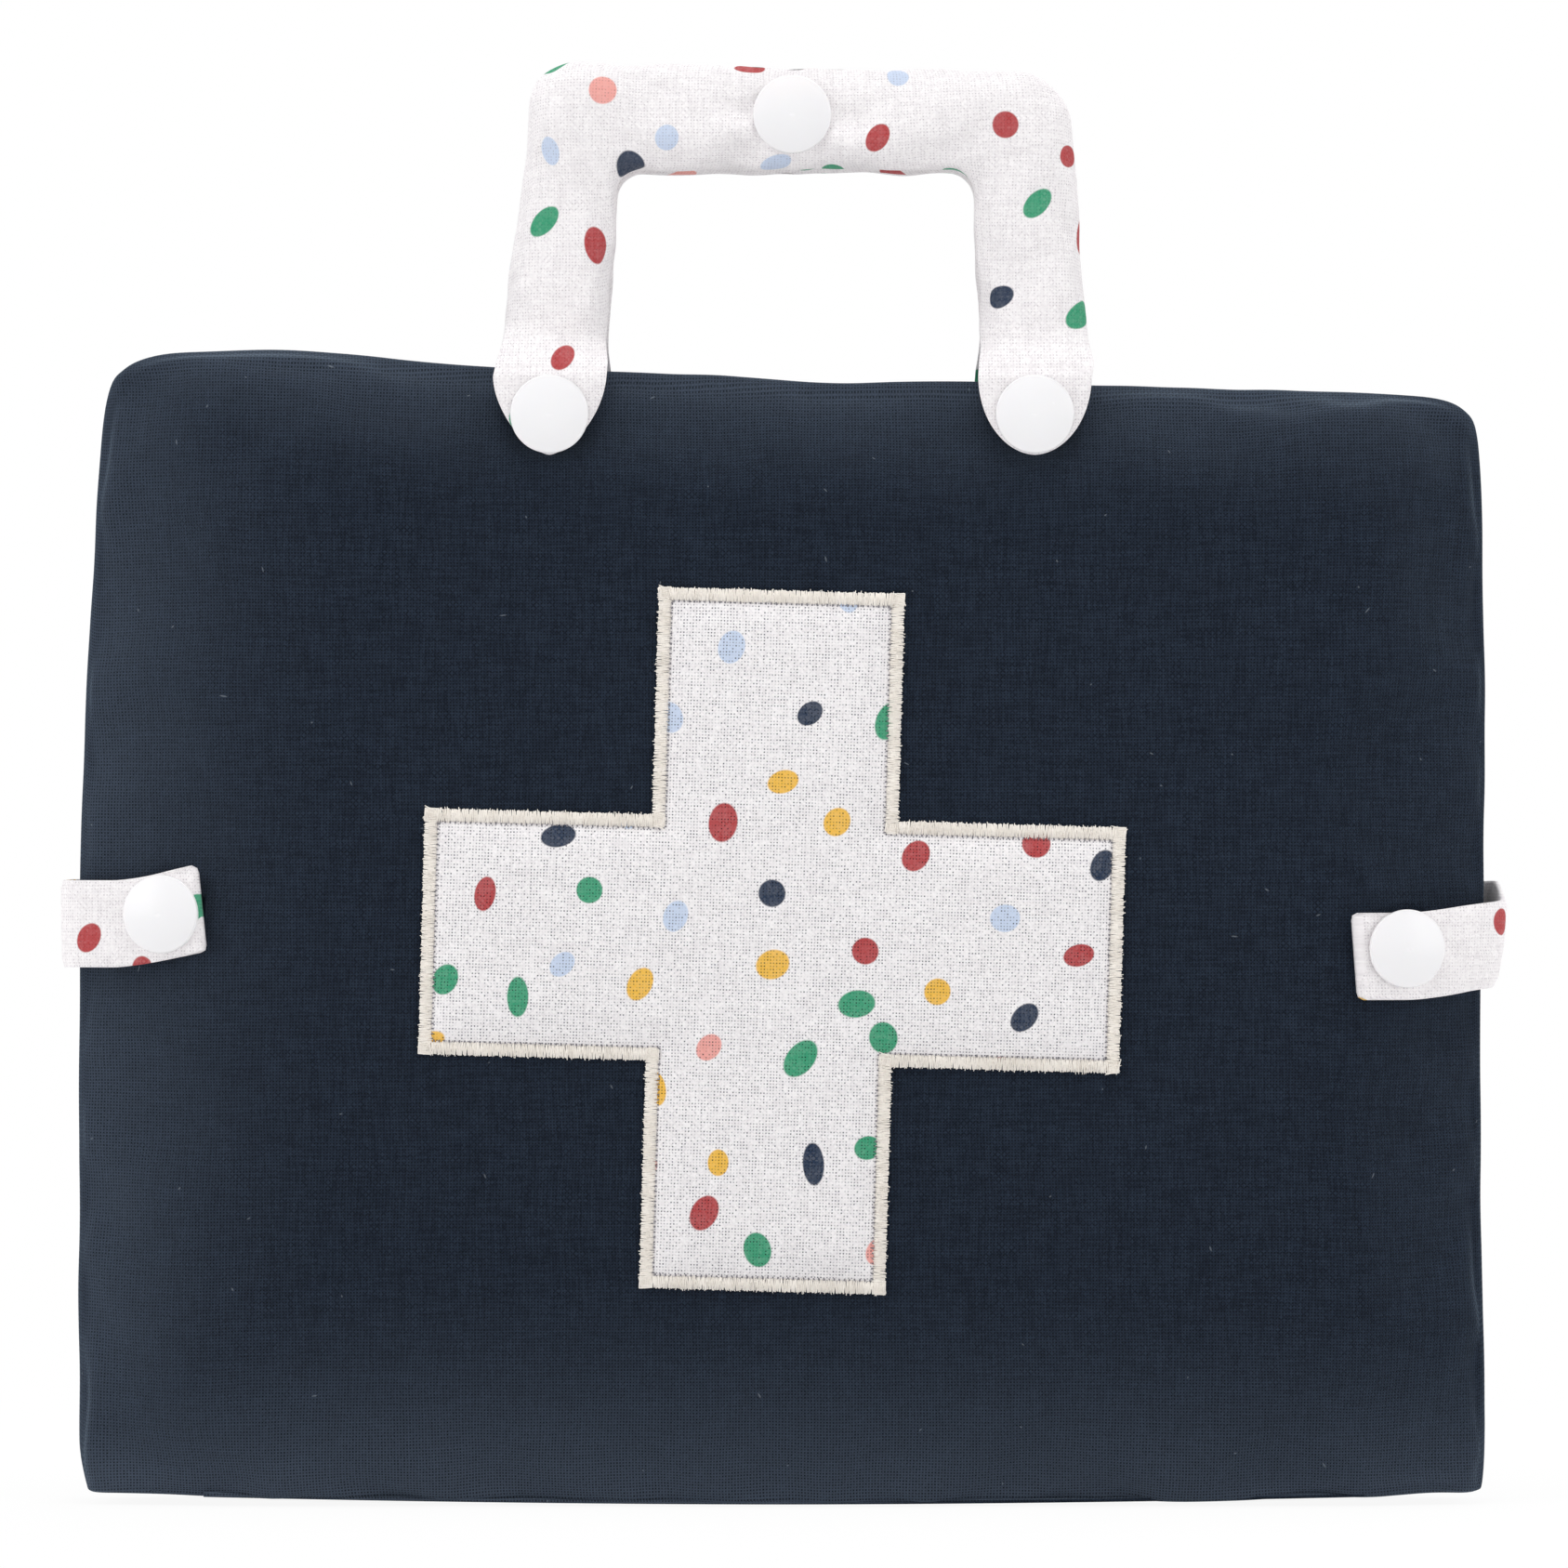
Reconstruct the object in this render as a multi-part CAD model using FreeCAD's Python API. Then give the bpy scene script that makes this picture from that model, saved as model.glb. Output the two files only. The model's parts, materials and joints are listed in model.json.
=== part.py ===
"""Toy first aid bag: two padded cotton panels folded up from a padded base, held shut by two
snap straps at the sides and by a pair of stuffed handles that snap together over the mouth.

Millimetres, +Z up, the front faces -Y. The origin is on the floor under the middle of the bag.
"""
import FreeCAD, Part
import math
import os

from FreeCAD import Vector

# Bag body
bag_width = 224.0
bag_height = 179.0
sewn_skew_deg = 1.6
inner_gap = 10.0
panel_thickness = 14.0
cloth = 0.8
padding_clearance = 0.15
fold_clearance = 0.3
side_slope_width = 25.0
side_slope_radius = 40.0
side_rim_bulge = 1.2
top_corner_radius = 8.5
top_front_round = 3.0
top_inner_round = 2.5
lining_margin = 3.5
lining_clearance = 0.05
base_lining_thickness = 0.6

# Pocket on the back lining
pocket_width = 120.0
pocket_height = 80.0
pocket_bottom = 34.0
pocket_cloth = 0.9
pocket_slack = 0.5
pocket_seam = 4.0
pocket_corner_radius = 6.0

# Cross sewn on the front
cross_span = 111.0
cross_arm = 39.0
cross_shift = -1.9
cross_height = 89.7
cross_cloth = 0.7
border_width = 2.1
border_thickness = 1.2
border_bevel = 0.4
cross_corner_radius = 1.2

# Snap fasteners, size 20
cap_radius = 6.2
cap_rim = 0.9
cap_dome = 1.1
cap_edge_round = 0.35
post_radius = 1.1
post_clearance = 0.1
socket_radius = 5.3
socket_height = 2.0
socket_bore_radius = 2.9
socket_web = 0.5
stud_radius = 5.0
stud_flange = 0.8
nub_radius = 2.45
nub_height = 1.4
nub_round = 0.5
snap_clearance = 0.1
back_cap_radius = 3.5
back_cap_height = 1.2
back_cap_round = 0.4
dimple_radius = 6.0
dimple_depth = 2.6

# Handles
handle_shift = 1.3
handle_bar = 17.8
grip_height = 30.8
handle_depth = 13.0
handle_edge_round = 6.0
handle_foot_half_width = 47.6
handle_taper = 3.8
leg_foot_width = 18.4
leg_top_width = 15.9
handle_corner_radius = 9.0
grip_corner_radius = 3.5
leg_corner_radius = 7.0
leg_clearance = 0.4
handle_snap_rise = 0.4
handle_dimple_radius = 6.7
handle_dimple_depth = 1.6

# Flat feet of the handles
foot_snap_drop = 6.0
foot_cloth = 1.6
foot_half_width = 9.1
foot_end_radius = 8.4
foot_end_rise = 1.9
foot_top_rise = 1.4

# Side straps
strap_height = 91.2
strap_width = 13.8
strap_cloth = 1.6
strap_snap_inset = 14.0
strap_tip_inset = 20.2
strap_stand_off = 1.6
strap_seam_clearance = 0.3
strap_knuckle_clearance = 0.3
strap_tip_radius = 1.5

overrun = 5.0

# Worked-out places
skew_slope = math.tan(math.radians(sewn_skew_deg))
half_width = bag_width / 2
inner_face = inner_gap / 2
outer_face = inner_face + panel_thickness
snap_stack = stud_flange + snap_clearance + socket_height
cap_height = cap_rim + cap_dome
strap_snap_x = half_width - strap_snap_inset
strap_tip_x = half_width - strap_tip_inset
foot_snap_height = bag_height - foot_snap_drop
foot_end_height = foot_snap_height + foot_end_rise
foot_top = bag_height + foot_top_rise
handle_top_half_width = handle_foot_half_width - handle_taper
grip_foot_half_width = handle_foot_half_width - leg_foot_width
grip_top_half_width = handle_top_half_width - leg_top_width
foot_spread = handle_foot_half_width - leg_foot_width / 2
leg_bottom = bag_height + (handle_foot_half_width - handle_shift) * skew_slope + leg_clearance
grip_top = leg_bottom + grip_height
handle_top = grip_top + handle_bar
handle_snap_height = grip_top + handle_bar / 2 + handle_snap_rise


def loop(corners, to_space):
    """A closed wire through (u, v, radius) corners, each rounded by a tangent arc."""
    count = len(corners)
    starts, ends, middles = [], [], []
    for index, (u, v, radius) in enumerate(corners):
        corner = Vector(u, v, 0)
        before = Vector(corners[index - 1][0], corners[index - 1][1], 0) - corner
        after_corner = corners[(index + 1) % count]
        after = Vector(after_corner[0], after_corner[1], 0) - corner
        before.normalize()
        after.normalize()
        half_turn = before.getAngle(after) / 2
        reach = radius / math.tan(half_turn)
        bisector = before + after
        bisector.normalize()
        starts.append(corner + before * reach)
        ends.append(corner + after * reach)
        middles.append(corner + bisector * (radius / math.sin(half_turn) - radius))
    edges = []
    for index in range(count):
        if corners[index][2] > 0:
            arc_points = [to_space(p.x, p.y) for p in (starts[index], middles[index], ends[index])]
            edges.append(Part.Arc(*arc_points).toShape())
        leave = to_space(ends[index].x, ends[index].y)
        arrive_point = starts[(index + 1) % count]
        arrive = to_space(arrive_point.x, arrive_point.y)
        edges.append(Part.LineSegment(leave, arrive).toShape())
    return Part.Wire(edges)


def in_front_view(u, v):
    return Vector(u, 0, v)


def in_side_view(u, v):
    return Vector(0, u, v)


def in_plan(u, v):
    return Vector(u, v, 0)


def seated(shape, point, direction):
    """A shape built up +Z from the origin, moved to point and turned to face direction."""
    placed = shape.copy()
    placed.Placement = FreeCAD.Placement(point, FreeCAD.Rotation(Vector(0, 0, 1), direction))
    return placed


def to_back(shape):
    return shape.mirror(Vector(0, 0, 0), Vector(0, 1, 0))


def to_left(shape):
    return shape.mirror(Vector(0, 0, 0), Vector(1, 0, 0))


def export(shape, node):
    shape.exportStep("parts/" + node + ".step")


def top_edge(x):
    """Height of the panels' top edge, which falls to the right as it was sewn."""
    return bag_height - x * skew_slope


# Padded panels

def panel_outline(inset):
    """Front view of a panel, square at the fold and rounded at the top corners."""
    half = half_width - inset
    corner = top_corner_radius - inset
    return [
        (-half, -overrun, 0),
        (half, -overrun, 0),
        (half, top_edge(half) - inset, corner),
        (-half, top_edge(-half) - inset, corner),
    ]


def outline_block(corners, y_from, y_to):
    face = Part.Face(loop(corners, in_front_view))
    face.translate(Vector(0, y_from, 0))
    return face.extrude(Vector(0, y_to - y_from, 0))


def slope_edges(inset):
    """The outer face seen from above: flat, with sides that slope back; and where it ends."""
    far = -outer_face + inset
    slope_start = half_width - side_slope_width
    slope_centre = -outer_face + side_slope_radius
    slope_radius = side_slope_radius - inset
    rim = half_width - inset - side_rim_bulge

    def slope_y(x):
        return slope_centre - math.sqrt(slope_radius ** 2 - (x - slope_start) ** 2)

    rim_y = slope_y(rim)
    middle_x = (slope_start + rim) / 2
    middle_y = slope_y(middle_x)
    edges = [
        Part.Arc(Vector(rim, rim_y, 0), Vector(middle_x, middle_y, 0),
                 Vector(slope_start, far, 0)).toShape(),
        Part.LineSegment(Vector(slope_start, far, 0), Vector(-slope_start, far, 0)).toShape(),
        Part.Arc(Vector(-slope_start, far, 0), Vector(-middle_x, middle_y, 0),
                 Vector(-rim, rim_y, 0)).toShape(),
    ]
    return edges, rim, rim_y


def plan_prism(edges):
    face = Part.Face(Part.Wire(edges))
    face.translate(Vector(0, 0, -overrun))
    return face.extrude(Vector(0, 0, top_edge(-half_width) + overrun * 2))


def plan_block(inset):
    """A panel seen from above: sloped outer face, thin rounded side rims, flat inner face."""
    near = -inner_face - inset
    outer_edges, rim, rim_y = slope_edges(inset)
    rim_middle = (near + rim_y) / 2
    side = half_width - inset
    right_rim = Part.Arc(Vector(rim, near, 0), Vector(side, rim_middle, 0), Vector(rim, rim_y, 0))
    left_rim = Part.Arc(Vector(-rim, rim_y, 0), Vector(-side, rim_middle, 0), Vector(-rim, near, 0))
    inner = Part.LineSegment(Vector(-rim, near, 0), Vector(rim, near, 0))
    return plan_prism([inner.toShape(), right_rim.toShape()] + outer_edges + [left_rim.toShape()])


def bag_plan_block(inset):
    """The whole bag seen from above, which the base fills from side to side."""
    front_edges, rim, rim_y = slope_edges(inset)
    back_edges = [to_back(edge) for edge in front_edges]
    side = half_width - inset
    right_end = Part.Arc(Vector(rim, rim_y, 0), Vector(side, 0, 0), Vector(rim, -rim_y, 0))
    left_end = Part.Arc(Vector(-rim, rim_y, 0), Vector(-side, 0, 0), Vector(-rim, -rim_y, 0))
    ends = [right_end.toShape(), left_end.toShape()]
    return plan_prism(Part.__sortEdges__(front_edges + back_edges + ends))


def side_block(inset):
    """A panel seen from the side: rounded along the top, mitred at 45 degrees at the fold."""
    near = -inner_face - inset
    far = -outer_face + inset
    top = bag_height - inset
    mitre = (fold_clearance / 2 + inset) * math.sqrt(2)
    reach = half_width + overrun
    lift = reach * skew_slope
    rounded = Part.Face(loop([
        (near, -overrun, 0),
        (near, top, top_inner_round - inset),
        (far, top, top_front_round - inset),
        (far, -overrun, 0),
    ], in_side_view))
    rounded.translate(Vector(-reach, 0, lift))
    rounded = rounded.extrude(Vector(reach * 2, 0, -lift * 2))
    above_fold = Part.Face(loop([
        (near, panel_thickness + mitre - inset, 0),
        (near, top + lift + overrun, 0),
        (far, top + lift + overrun, 0),
        (far, mitre + inset, 0),
    ], in_side_view))
    above_fold.translate(Vector(-reach, 0, 0))
    return rounded.common(above_fold.extrude(Vector(reach * 2, 0, 0)))


def panel_pad(inset):
    """The padded form of the front panel, with every face moved in by inset."""
    pad = outline_block(panel_outline(inset), -outer_face - overrun, -inner_face + overrun)
    return pad.common(plan_block(inset)).common(side_block(inset))


# Snap fasteners

def revolved(edges):
    return Part.Face(Part.Wire(edges)).revolve(Vector(0, 0, 0), Vector(0, 0, 1), 360)


def profile(points):
    """Straight edges of a closed half section through (radius, height) points."""
    spots = [Vector(radius, 0, height) for radius, height in points]
    return [Part.LineSegment(spots[i], spots[(i + 1) % len(spots)]).toShape()
            for i in range(len(spots))]


def snap_cap(post_length):
    """Glossy domed cap with its post; its flat underside lies at height zero."""
    rim_top = Vector(cap_radius, 0, cap_rim - cap_edge_round)
    shoulder = Vector(cap_radius - cap_edge_round, 0, cap_rim)
    crown = Vector(0, 0, cap_height)
    dome_radius = (shoulder.x ** 2 + cap_dome ** 2) / (cap_dome * 2)
    half_x = shoulder.x / 2
    half_z = cap_height - dome_radius + math.sqrt(dome_radius ** 2 - half_x ** 2)
    lean = cap_edge_round * (1 - math.sqrt(0.5))
    round_middle = Vector(cap_radius - lean, 0, cap_rim - lean)
    edges = [
        Part.LineSegment(Vector(0, 0, -post_length), Vector(post_radius, 0, -post_length)).toShape(),
        Part.LineSegment(Vector(post_radius, 0, -post_length), Vector(post_radius, 0, 0)).toShape(),
        Part.LineSegment(Vector(post_radius, 0, 0), Vector(cap_radius, 0, 0)).toShape(),
        Part.LineSegment(Vector(cap_radius, 0, 0), rim_top).toShape(),
        Part.Arc(rim_top, round_middle, shoulder).toShape(),
        Part.Arc(shoulder, Vector(half_x, 0, half_z), crown).toShape(),
        Part.LineSegment(crown, Vector(0, 0, -post_length)).toShape(),
    ]
    return revolved(edges)


def snap_socket():
    """Ring that the nub enters from below; its web round the post is at the top."""
    bore_top = socket_height - socket_web
    return revolved(profile([
        (socket_bore_radius, 0),
        (socket_radius, 0),
        (socket_radius, socket_height),
        (post_radius + post_clearance, socket_height),
        (post_radius + post_clearance, bore_top),
        (socket_bore_radius, bore_top),
    ]))


def snap_stud():
    """Flange with the raised nub, bored for the post of its back cap."""
    bore = post_radius + post_clearance
    top = stud_flange + nub_height
    return revolved(profile([
        (bore, 0),
        (stud_radius, 0),
        (stud_radius, stud_flange),
        (nub_radius, stud_flange),
        (nub_radius, top - nub_round),
        (nub_radius - nub_round, top),
        (bore, top),
    ]))


def snap_back(post_length):
    """Flat cap behind the cloth, with its post up through the stud; its top is at height zero."""
    return revolved(profile([
        (0, -back_cap_height),
        (back_cap_radius - back_cap_round, -back_cap_height),
        (back_cap_radius, -back_cap_height + back_cap_round),
        (back_cap_radius, 0),
        (post_radius, 0),
        (post_radius, post_length),
        (0, post_length),
    ]))


def seat_snaps(name, point, direction):
    """The four pieces of a snap on a panel, from the dimple floor under point outward."""
    floor = point - direction * dimple_depth
    under_cloth = floor - direction * cloth
    socket_seat = floor + direction * (stud_flange + snap_clearance)
    cap_seat = floor + direction * (snap_stack + foot_cloth)
    back_post = cloth + stud_flange
    cap_post = foot_cloth + socket_web
    return {
        name + "_cap": seated(snap_cap(cap_post), cap_seat, direction),
        name + "_socket": seated(snap_socket(), socket_seat, direction),
        name + "_stud": seated(snap_stud(), floor, direction),
        name + "_inner_cap": seated(snap_back(back_post), under_cloth, direction),
    }


def plug(point, direction, radius, below, above):
    """A round cutter along direction, reaching below and above point."""
    return Part.makeCylinder(radius, below + above, point - direction * below, direction)


def dimple(point, direction, grow):
    """Hollow that a snap draws into the padding, enlarged by grow all round."""
    return plug(point, direction, dimple_radius + grow, dimple_depth + grow, overrun)


def post_hole(point, direction):
    radius = post_radius + post_clearance
    return plug(point, direction, radius, dimple_depth + cloth * 2, overrun)


def inner_cap_room(point, direction):
    depth = dimple_depth + cloth + back_cap_height + padding_clearance
    return plug(point, direction, back_cap_radius + padding_clearance, depth, overrun)


# Places of the snaps on the panels

def foot_points(y_face):
    return {
        "left": Vector(handle_shift - foot_spread, y_face, foot_snap_height),
        "right": Vector(handle_shift + foot_spread, y_face, foot_snap_height),
    }


strap_slope = math.asin((strap_snap_x - half_width + side_slope_width) / side_slope_radius)
strap_face_y = -outer_face + side_slope_radius * (1 - math.cos(strap_slope))
outward = Vector(0, -1, 0)


def strap_snap(side):
    """Point and outward direction of a strap snap; side is 1 on the right, -1 on the left."""
    x = side * strap_snap_x
    point = Vector(x, strap_face_y, strap_height - x * skew_slope)
    return point, Vector(side * math.sin(strap_slope), -math.cos(strap_slope), 0)


def panel_pieces(seats):
    """Cover, wadding and lining of a panel whose snaps sit at seats, built as the front one."""
    form = panel_pad(0)
    room = panel_pad(cloth)
    wadding = panel_pad(cloth + padding_clearance)
    lining = outline_block(panel_outline(lining_margin), -inner_face - cloth, -inner_face)
    keep = lining_margin + panel_thickness
    window_bottom = Part.makeBox(bag_width * 2, outer_face * 2, keep + overrun,
                                 Vector(-bag_width, -outer_face * 2, -overrun))
    lining = lining.cut(window_bottom)
    window = outline_block(panel_outline(lining_margin - lining_clearance),
                           -inner_face - cloth - lining_clearance, -inner_face + overrun)
    window = window.cut(window_bottom.translated(Vector(0, 0, -lining_clearance)))
    cover = form
    for point, direction in seats:
        cover = cover.cut(dimple(point, direction, 0))
        room = room.cut(dimple(point, direction, cloth))
        wadding = wadding.cut(dimple(point, direction, cloth + padding_clearance))
        wadding = wadding.cut(inner_cap_room(point, direction))
    cover = cover.cut(room).cut(window)
    for point, direction in seats:
        cover = cover.cut(post_hole(point, direction))
    return cover, wadding, lining


# Base pad between the folds

def base_block(inset):
    """Padded strip, as deep as the bag at the floor and as the inner gap at its top."""
    half_bottom = outer_face - fold_clearance / 2 - inset * (1 + math.sqrt(2))
    half_top = half_bottom - panel_thickness + inset * 2
    section = Part.Face(loop([
        (-half_bottom, inset, 0),
        (half_bottom, inset, 0),
        (half_top, panel_thickness - inset, 0),
        (-half_top, panel_thickness - inset, 0),
    ], in_side_view))
    section.translate(Vector(-half_width, 0, 0))
    return section.extrude(Vector(bag_width, 0, 0)).common(bag_plan_block(inset))


def base_pieces():
    cover = base_block(0).cut(base_block(cloth))
    wadding = base_block(cloth + padding_clearance)
    half = inner_face - fold_clearance
    length = bag_width - lining_margin * 2
    lining = Part.makeBox(length, half * 2, base_lining_thickness,
                          Vector(-length / 2, -half, panel_thickness))
    return cover, wadding, lining


# Pocket

def pocket():
    """Cotton patch on the back lining, sewn along its sides and bottom and open at the top."""
    half = pocket_width / 2
    top = pocket_bottom + pocket_height
    corners = [
        (-half, pocket_bottom, pocket_corner_radius),
        (half, pocket_bottom, pocket_corner_radius),
        (half, top, 0),
        (-half, top, 0),
    ]
    patch = outline_block(corners, inner_face - pocket_cloth - pocket_slack, inner_face)
    half_slot = half - pocket_seam
    slot_height = pocket_height - pocket_seam + overrun
    slot = Part.makeBox(half_slot * 2, pocket_slack + overrun, slot_height,
                        Vector(-half_slot, inner_face - pocket_slack, pocket_bottom + pocket_seam))
    return patch.cut(slot)


# Cross on the front

def cross_outline(inset):
    half_span = cross_span / 2 - inset
    half_arm = cross_arm / 2 - inset
    outer = cross_corner_radius
    return [
        (-half_arm, half_span, outer), (half_arm, half_span, outer), (half_arm, half_arm, 0),
        (half_span, half_arm, outer), (half_span, -half_arm, outer), (half_arm, -half_arm, 0),
        (half_arm, -half_span, outer), (-half_arm, -half_span, outer), (-half_arm, -half_arm, 0),
        (-half_span, -half_arm, outer), (-half_span, half_arm, outer), (-half_arm, half_arm, 0),
    ]


def on_front(shape):
    """A cross piece built round the origin, turned with the sewing and set on the front face."""
    placed = shape.copy()
    turn = FreeCAD.Rotation(Vector(0, 1, 0), sewn_skew_deg)
    placed.Placement = FreeCAD.Placement(Vector(cross_shift, -outer_face, cross_height), turn)
    return placed


def cross_pieces():
    patch = outline_block(cross_outline(border_width), -cross_cloth, 0)
    ring = outline_block(cross_outline(0), -border_thickness, 0)
    top_edges = [edge for edge in ring.Edges
                 if abs(edge.BoundBox.YMin + border_thickness) < border_bevel
                 and edge.BoundBox.YLength < border_bevel]
    ring = ring.makeChamfer(border_bevel, top_edges)
    ring = ring.cut(outline_block(cross_outline(border_width), -border_thickness - overrun, overrun))
    return on_front(patch), on_front(ring)


# Handles

def handle_block(inset):
    """Stuffed U of a handle in front view, rounded all round, with every face moved in by inset."""
    bottom = leg_bottom + inset
    top = handle_top - inset
    inner_top = grip_top + inset
    corners = [
        (-handle_foot_half_width + inset, bottom, leg_corner_radius - inset),
        (-grip_foot_half_width - inset, bottom, leg_corner_radius - inset),
        (-grip_top_half_width - inset, inner_top, grip_corner_radius + inset),
        (grip_top_half_width + inset, inner_top, grip_corner_radius + inset),
        (grip_foot_half_width + inset, bottom, leg_corner_radius - inset),
        (handle_foot_half_width - inset, bottom, leg_corner_radius - inset),
        (handle_top_half_width - inset, top, handle_corner_radius - inset),
        (-handle_top_half_width + inset, top, handle_corner_radius - inset),
    ]
    rear = -snap_stack / 2 - inset
    front = rear - handle_depth + inset * 2
    block = outline_block(corners, front, rear)
    block.translate(Vector(handle_shift, 0, 0))
    flat_edges = [edge for edge in block.Edges if edge.BoundBox.YLength < cloth / 2]
    return block.makeFillet(handle_edge_round - inset, flat_edges)


handle_front = -snap_stack / 2 - handle_depth
handle_snap = Vector(handle_shift, handle_front, handle_snap_height)


def handle_dimple(grow):
    return plug(handle_snap, outward, handle_dimple_radius + grow, handle_dimple_depth + grow, overrun)


def handle_pieces():
    """Cover and filling of a handle, drawn in under its cap."""
    hole = plug(handle_snap, outward, post_radius + post_clearance, handle_depth + overrun, overrun)
    room = handle_block(cloth).cut(handle_dimple(cloth))
    cover = handle_block(0).cut(handle_dimple(0)).cut(room).cut(hole)
    inset = cloth + padding_clearance
    filling = handle_block(inset).cut(handle_dimple(inset)).cut(hole)
    return cover, filling


def handle_snap_pieces():
    """Cap and socket of the front handle, cap and stud of the back one, meeting at the middle."""
    backward = Vector(0, 1, 0)
    cap_seat = handle_snap - outward * handle_dimple_depth
    front_post = handle_depth - handle_dimple_depth + socket_web
    back_post = handle_depth - handle_dimple_depth + stud_flange
    rear = Vector(handle_shift, -snap_stack / 2, handle_snap_height)
    socket = seated(snap_socket(), rear + backward * socket_height, outward)
    stud_seat = Vector(handle_shift, snap_stack / 2, handle_snap_height)
    return {
        "front_handle_cap": seated(snap_cap(front_post), cap_seat, outward),
        "front_handle_socket": socket,
        "back_handle_cap": to_back(seated(snap_cap(back_post), cap_seat, outward)),
        "back_handle_stud": seated(snap_stud(), stud_seat, outward),
    }


def foot(point):
    """Flat end of a handle leg, snapped on the panel's face and rounded over at the top."""
    under = -point.y + snap_stack - dimple_depth
    centre_y = -under - foot_cloth / 2
    half = foot_cloth / 2
    round_top = foot_top - half
    right_low = Vector(foot_end_radius, 0, foot_end_height)
    left_low = Vector(-foot_end_radius, 0, foot_end_height)
    tip = Vector(0, 0, foot_end_height - foot_end_radius)
    right_high = Vector(foot_half_width, 0, round_top)
    left_high = Vector(-foot_half_width, 0, round_top)
    face = Part.Face(Part.Wire([
        Part.Arc(left_low, tip, right_low).toShape(),
        Part.LineSegment(right_low, right_high).toShape(),
        Part.LineSegment(right_high, left_high).toShape(),
        Part.LineSegment(left_high, left_low).toShape(),
    ]))
    face.translate(Vector(point.x, centre_y - half, 0))
    tab = face.extrude(Vector(0, foot_cloth, 0))
    roll = Part.makeCylinder(half, foot_half_width * 2,
                             Vector(point.x - foot_half_width, centre_y, round_top), Vector(1, 0, 0))
    tab = tab.fuse(roll).removeSplitter()
    return tab.cut(post_hole(point, outward))


# Side straps

def strap_line():
    """Plan points of the right strap: snap middle, corner hinge and unit direction outward."""
    point, direction = strap_snap(1)
    lift = snap_stack - dimple_depth + strap_cloth / 2
    middle = Vector(point.x, point.y, 0) + direction * lift
    along = Vector(math.cos(strap_slope), math.sin(strap_slope), 0)
    hinge_x = half_width + strap_stand_off + strap_cloth / 2
    hinge = middle + along * ((hinge_x - middle.x) / along.x)
    return middle, hinge, along


def strap_tongue(side):
    """Free end of a strap, from its rounded corner over the front to its tip."""
    point, direction = strap_snap(side)
    middle, hinge, along = strap_line()
    half = strap_cloth / 2
    length = (hinge.x - strap_tip_x) / along.x
    bottom = -strap_width / 2
    blade = Part.makeBox(length, strap_cloth, strap_width, Vector(-length, -half, bottom))
    tip_edges = [edge for edge in blade.Edges
                 if abs(edge.BoundBox.XMax + length) < half and edge.BoundBox.YLength > half]
    blade = blade.makeFillet(strap_tip_radius, tip_edges)
    knuckle = Part.makeCylinder(half, strap_width, Vector(0, 0, bottom))
    blade = blade.fuse(knuckle).removeSplitter()
    blade.Placement = FreeCAD.Placement(
        Vector(hinge.x, hinge.y, point.z), FreeCAD.Rotation(Vector(1, 0, 0), along))
    if side < 0:
        blade = to_left(blade)
    return blade.cut(post_hole(point, direction))


def strap_side(side):
    """Sewn end of a strap: out of the back panel's side seam and forward past the bag's side."""
    point, direction = strap_snap(side)
    middle, hinge, along = strap_line()
    half = strap_cloth / 2
    bottom = point.z - strap_width / 2
    seam_x = half_width + strap_seam_clearance + half
    seam_y = strap_seam_y()
    front_y = hinge.y + half + strap_knuckle_clearance
    outer_x = hinge.x + half
    inner_x = hinge.x - half
    section = Part.Face(loop([
        (seam_x, seam_y + half, 0),
        (seam_x, seam_y - half, 0),
        (inner_x, seam_y - half, 0),
        (inner_x, front_y, 0),
        (outer_x, front_y, 0),
        (outer_x, seam_y + half, strap_cloth),
    ], in_plan))
    section.translate(Vector(0, 0, bottom))
    band = section.extrude(Vector(0, 0, strap_width))
    knuckle = Part.makeCylinder(half, strap_width, Vector(seam_x, seam_y, bottom))
    band = band.fuse(knuckle).removeSplitter()
    if side < 0:
        band = to_left(band)
    return band


def strap_seam_y():
    """Middle of the back panel's side rim, where the strap is sewn in."""
    rim = half_width - side_rim_bulge
    reach = rim - half_width + side_slope_width
    slope_y = outer_face - side_slope_radius + math.sqrt(side_slope_radius ** 2 - reach ** 2)
    return (inner_face + slope_y) / 2


def build_front():
    feet = foot_points(-outer_face)
    straps = {"left": strap_snap(-1), "right": strap_snap(1)}
    seats = [(feet[name], outward) for name in feet] + list(straps.values())
    cover, wadding, lining = panel_pieces(seats)
    export(cover, "front_cover")
    export(wadding, "front_wadding")
    export(lining, "front_lining")
    patch, ring = cross_pieces()
    export(patch, "cross_patch")
    export(ring, "cross_border")
    for name, point in feet.items():
        export(foot(point), "front_" + name + "_foot")
        for node, shape in seat_snaps("front_" + name + "_foot", point, outward).items():
            export(shape, node)
    for name, (point, direction) in straps.items():
        for node, shape in seat_snaps(name + "_strap", point, direction).items():
            export(shape, node)


def build_back():
    seats = [(point, outward) for point in foot_points(-outer_face).values()]
    cover, wadding, lining = panel_pieces(seats)
    export(to_back(cover), "back_cover")
    export(to_back(wadding), "back_wadding")
    export(to_back(lining), "back_lining")
    export(pocket(), "tool_pocket")
    for name, point in foot_points(-outer_face).items():
        export(to_back(foot(point)), "back_" + name + "_foot")
        for node, shape in seat_snaps("back_" + name + "_foot", point, outward).items():
            export(to_back(shape), node)


def build_base():
    cover, wadding, lining = base_pieces()
    export(cover, "base_cover")
    export(wadding, "base_wadding")
    export(lining, "base_lining")


def build_handles():
    cover, filling = handle_pieces()
    export(cover, "front_handle_cover")
    export(filling, "front_handle_filling")
    export(to_back(cover), "back_handle_cover")
    export(to_back(filling), "back_handle_filling")
    for node, shape in handle_snap_pieces().items():
        export(shape, node)


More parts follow.
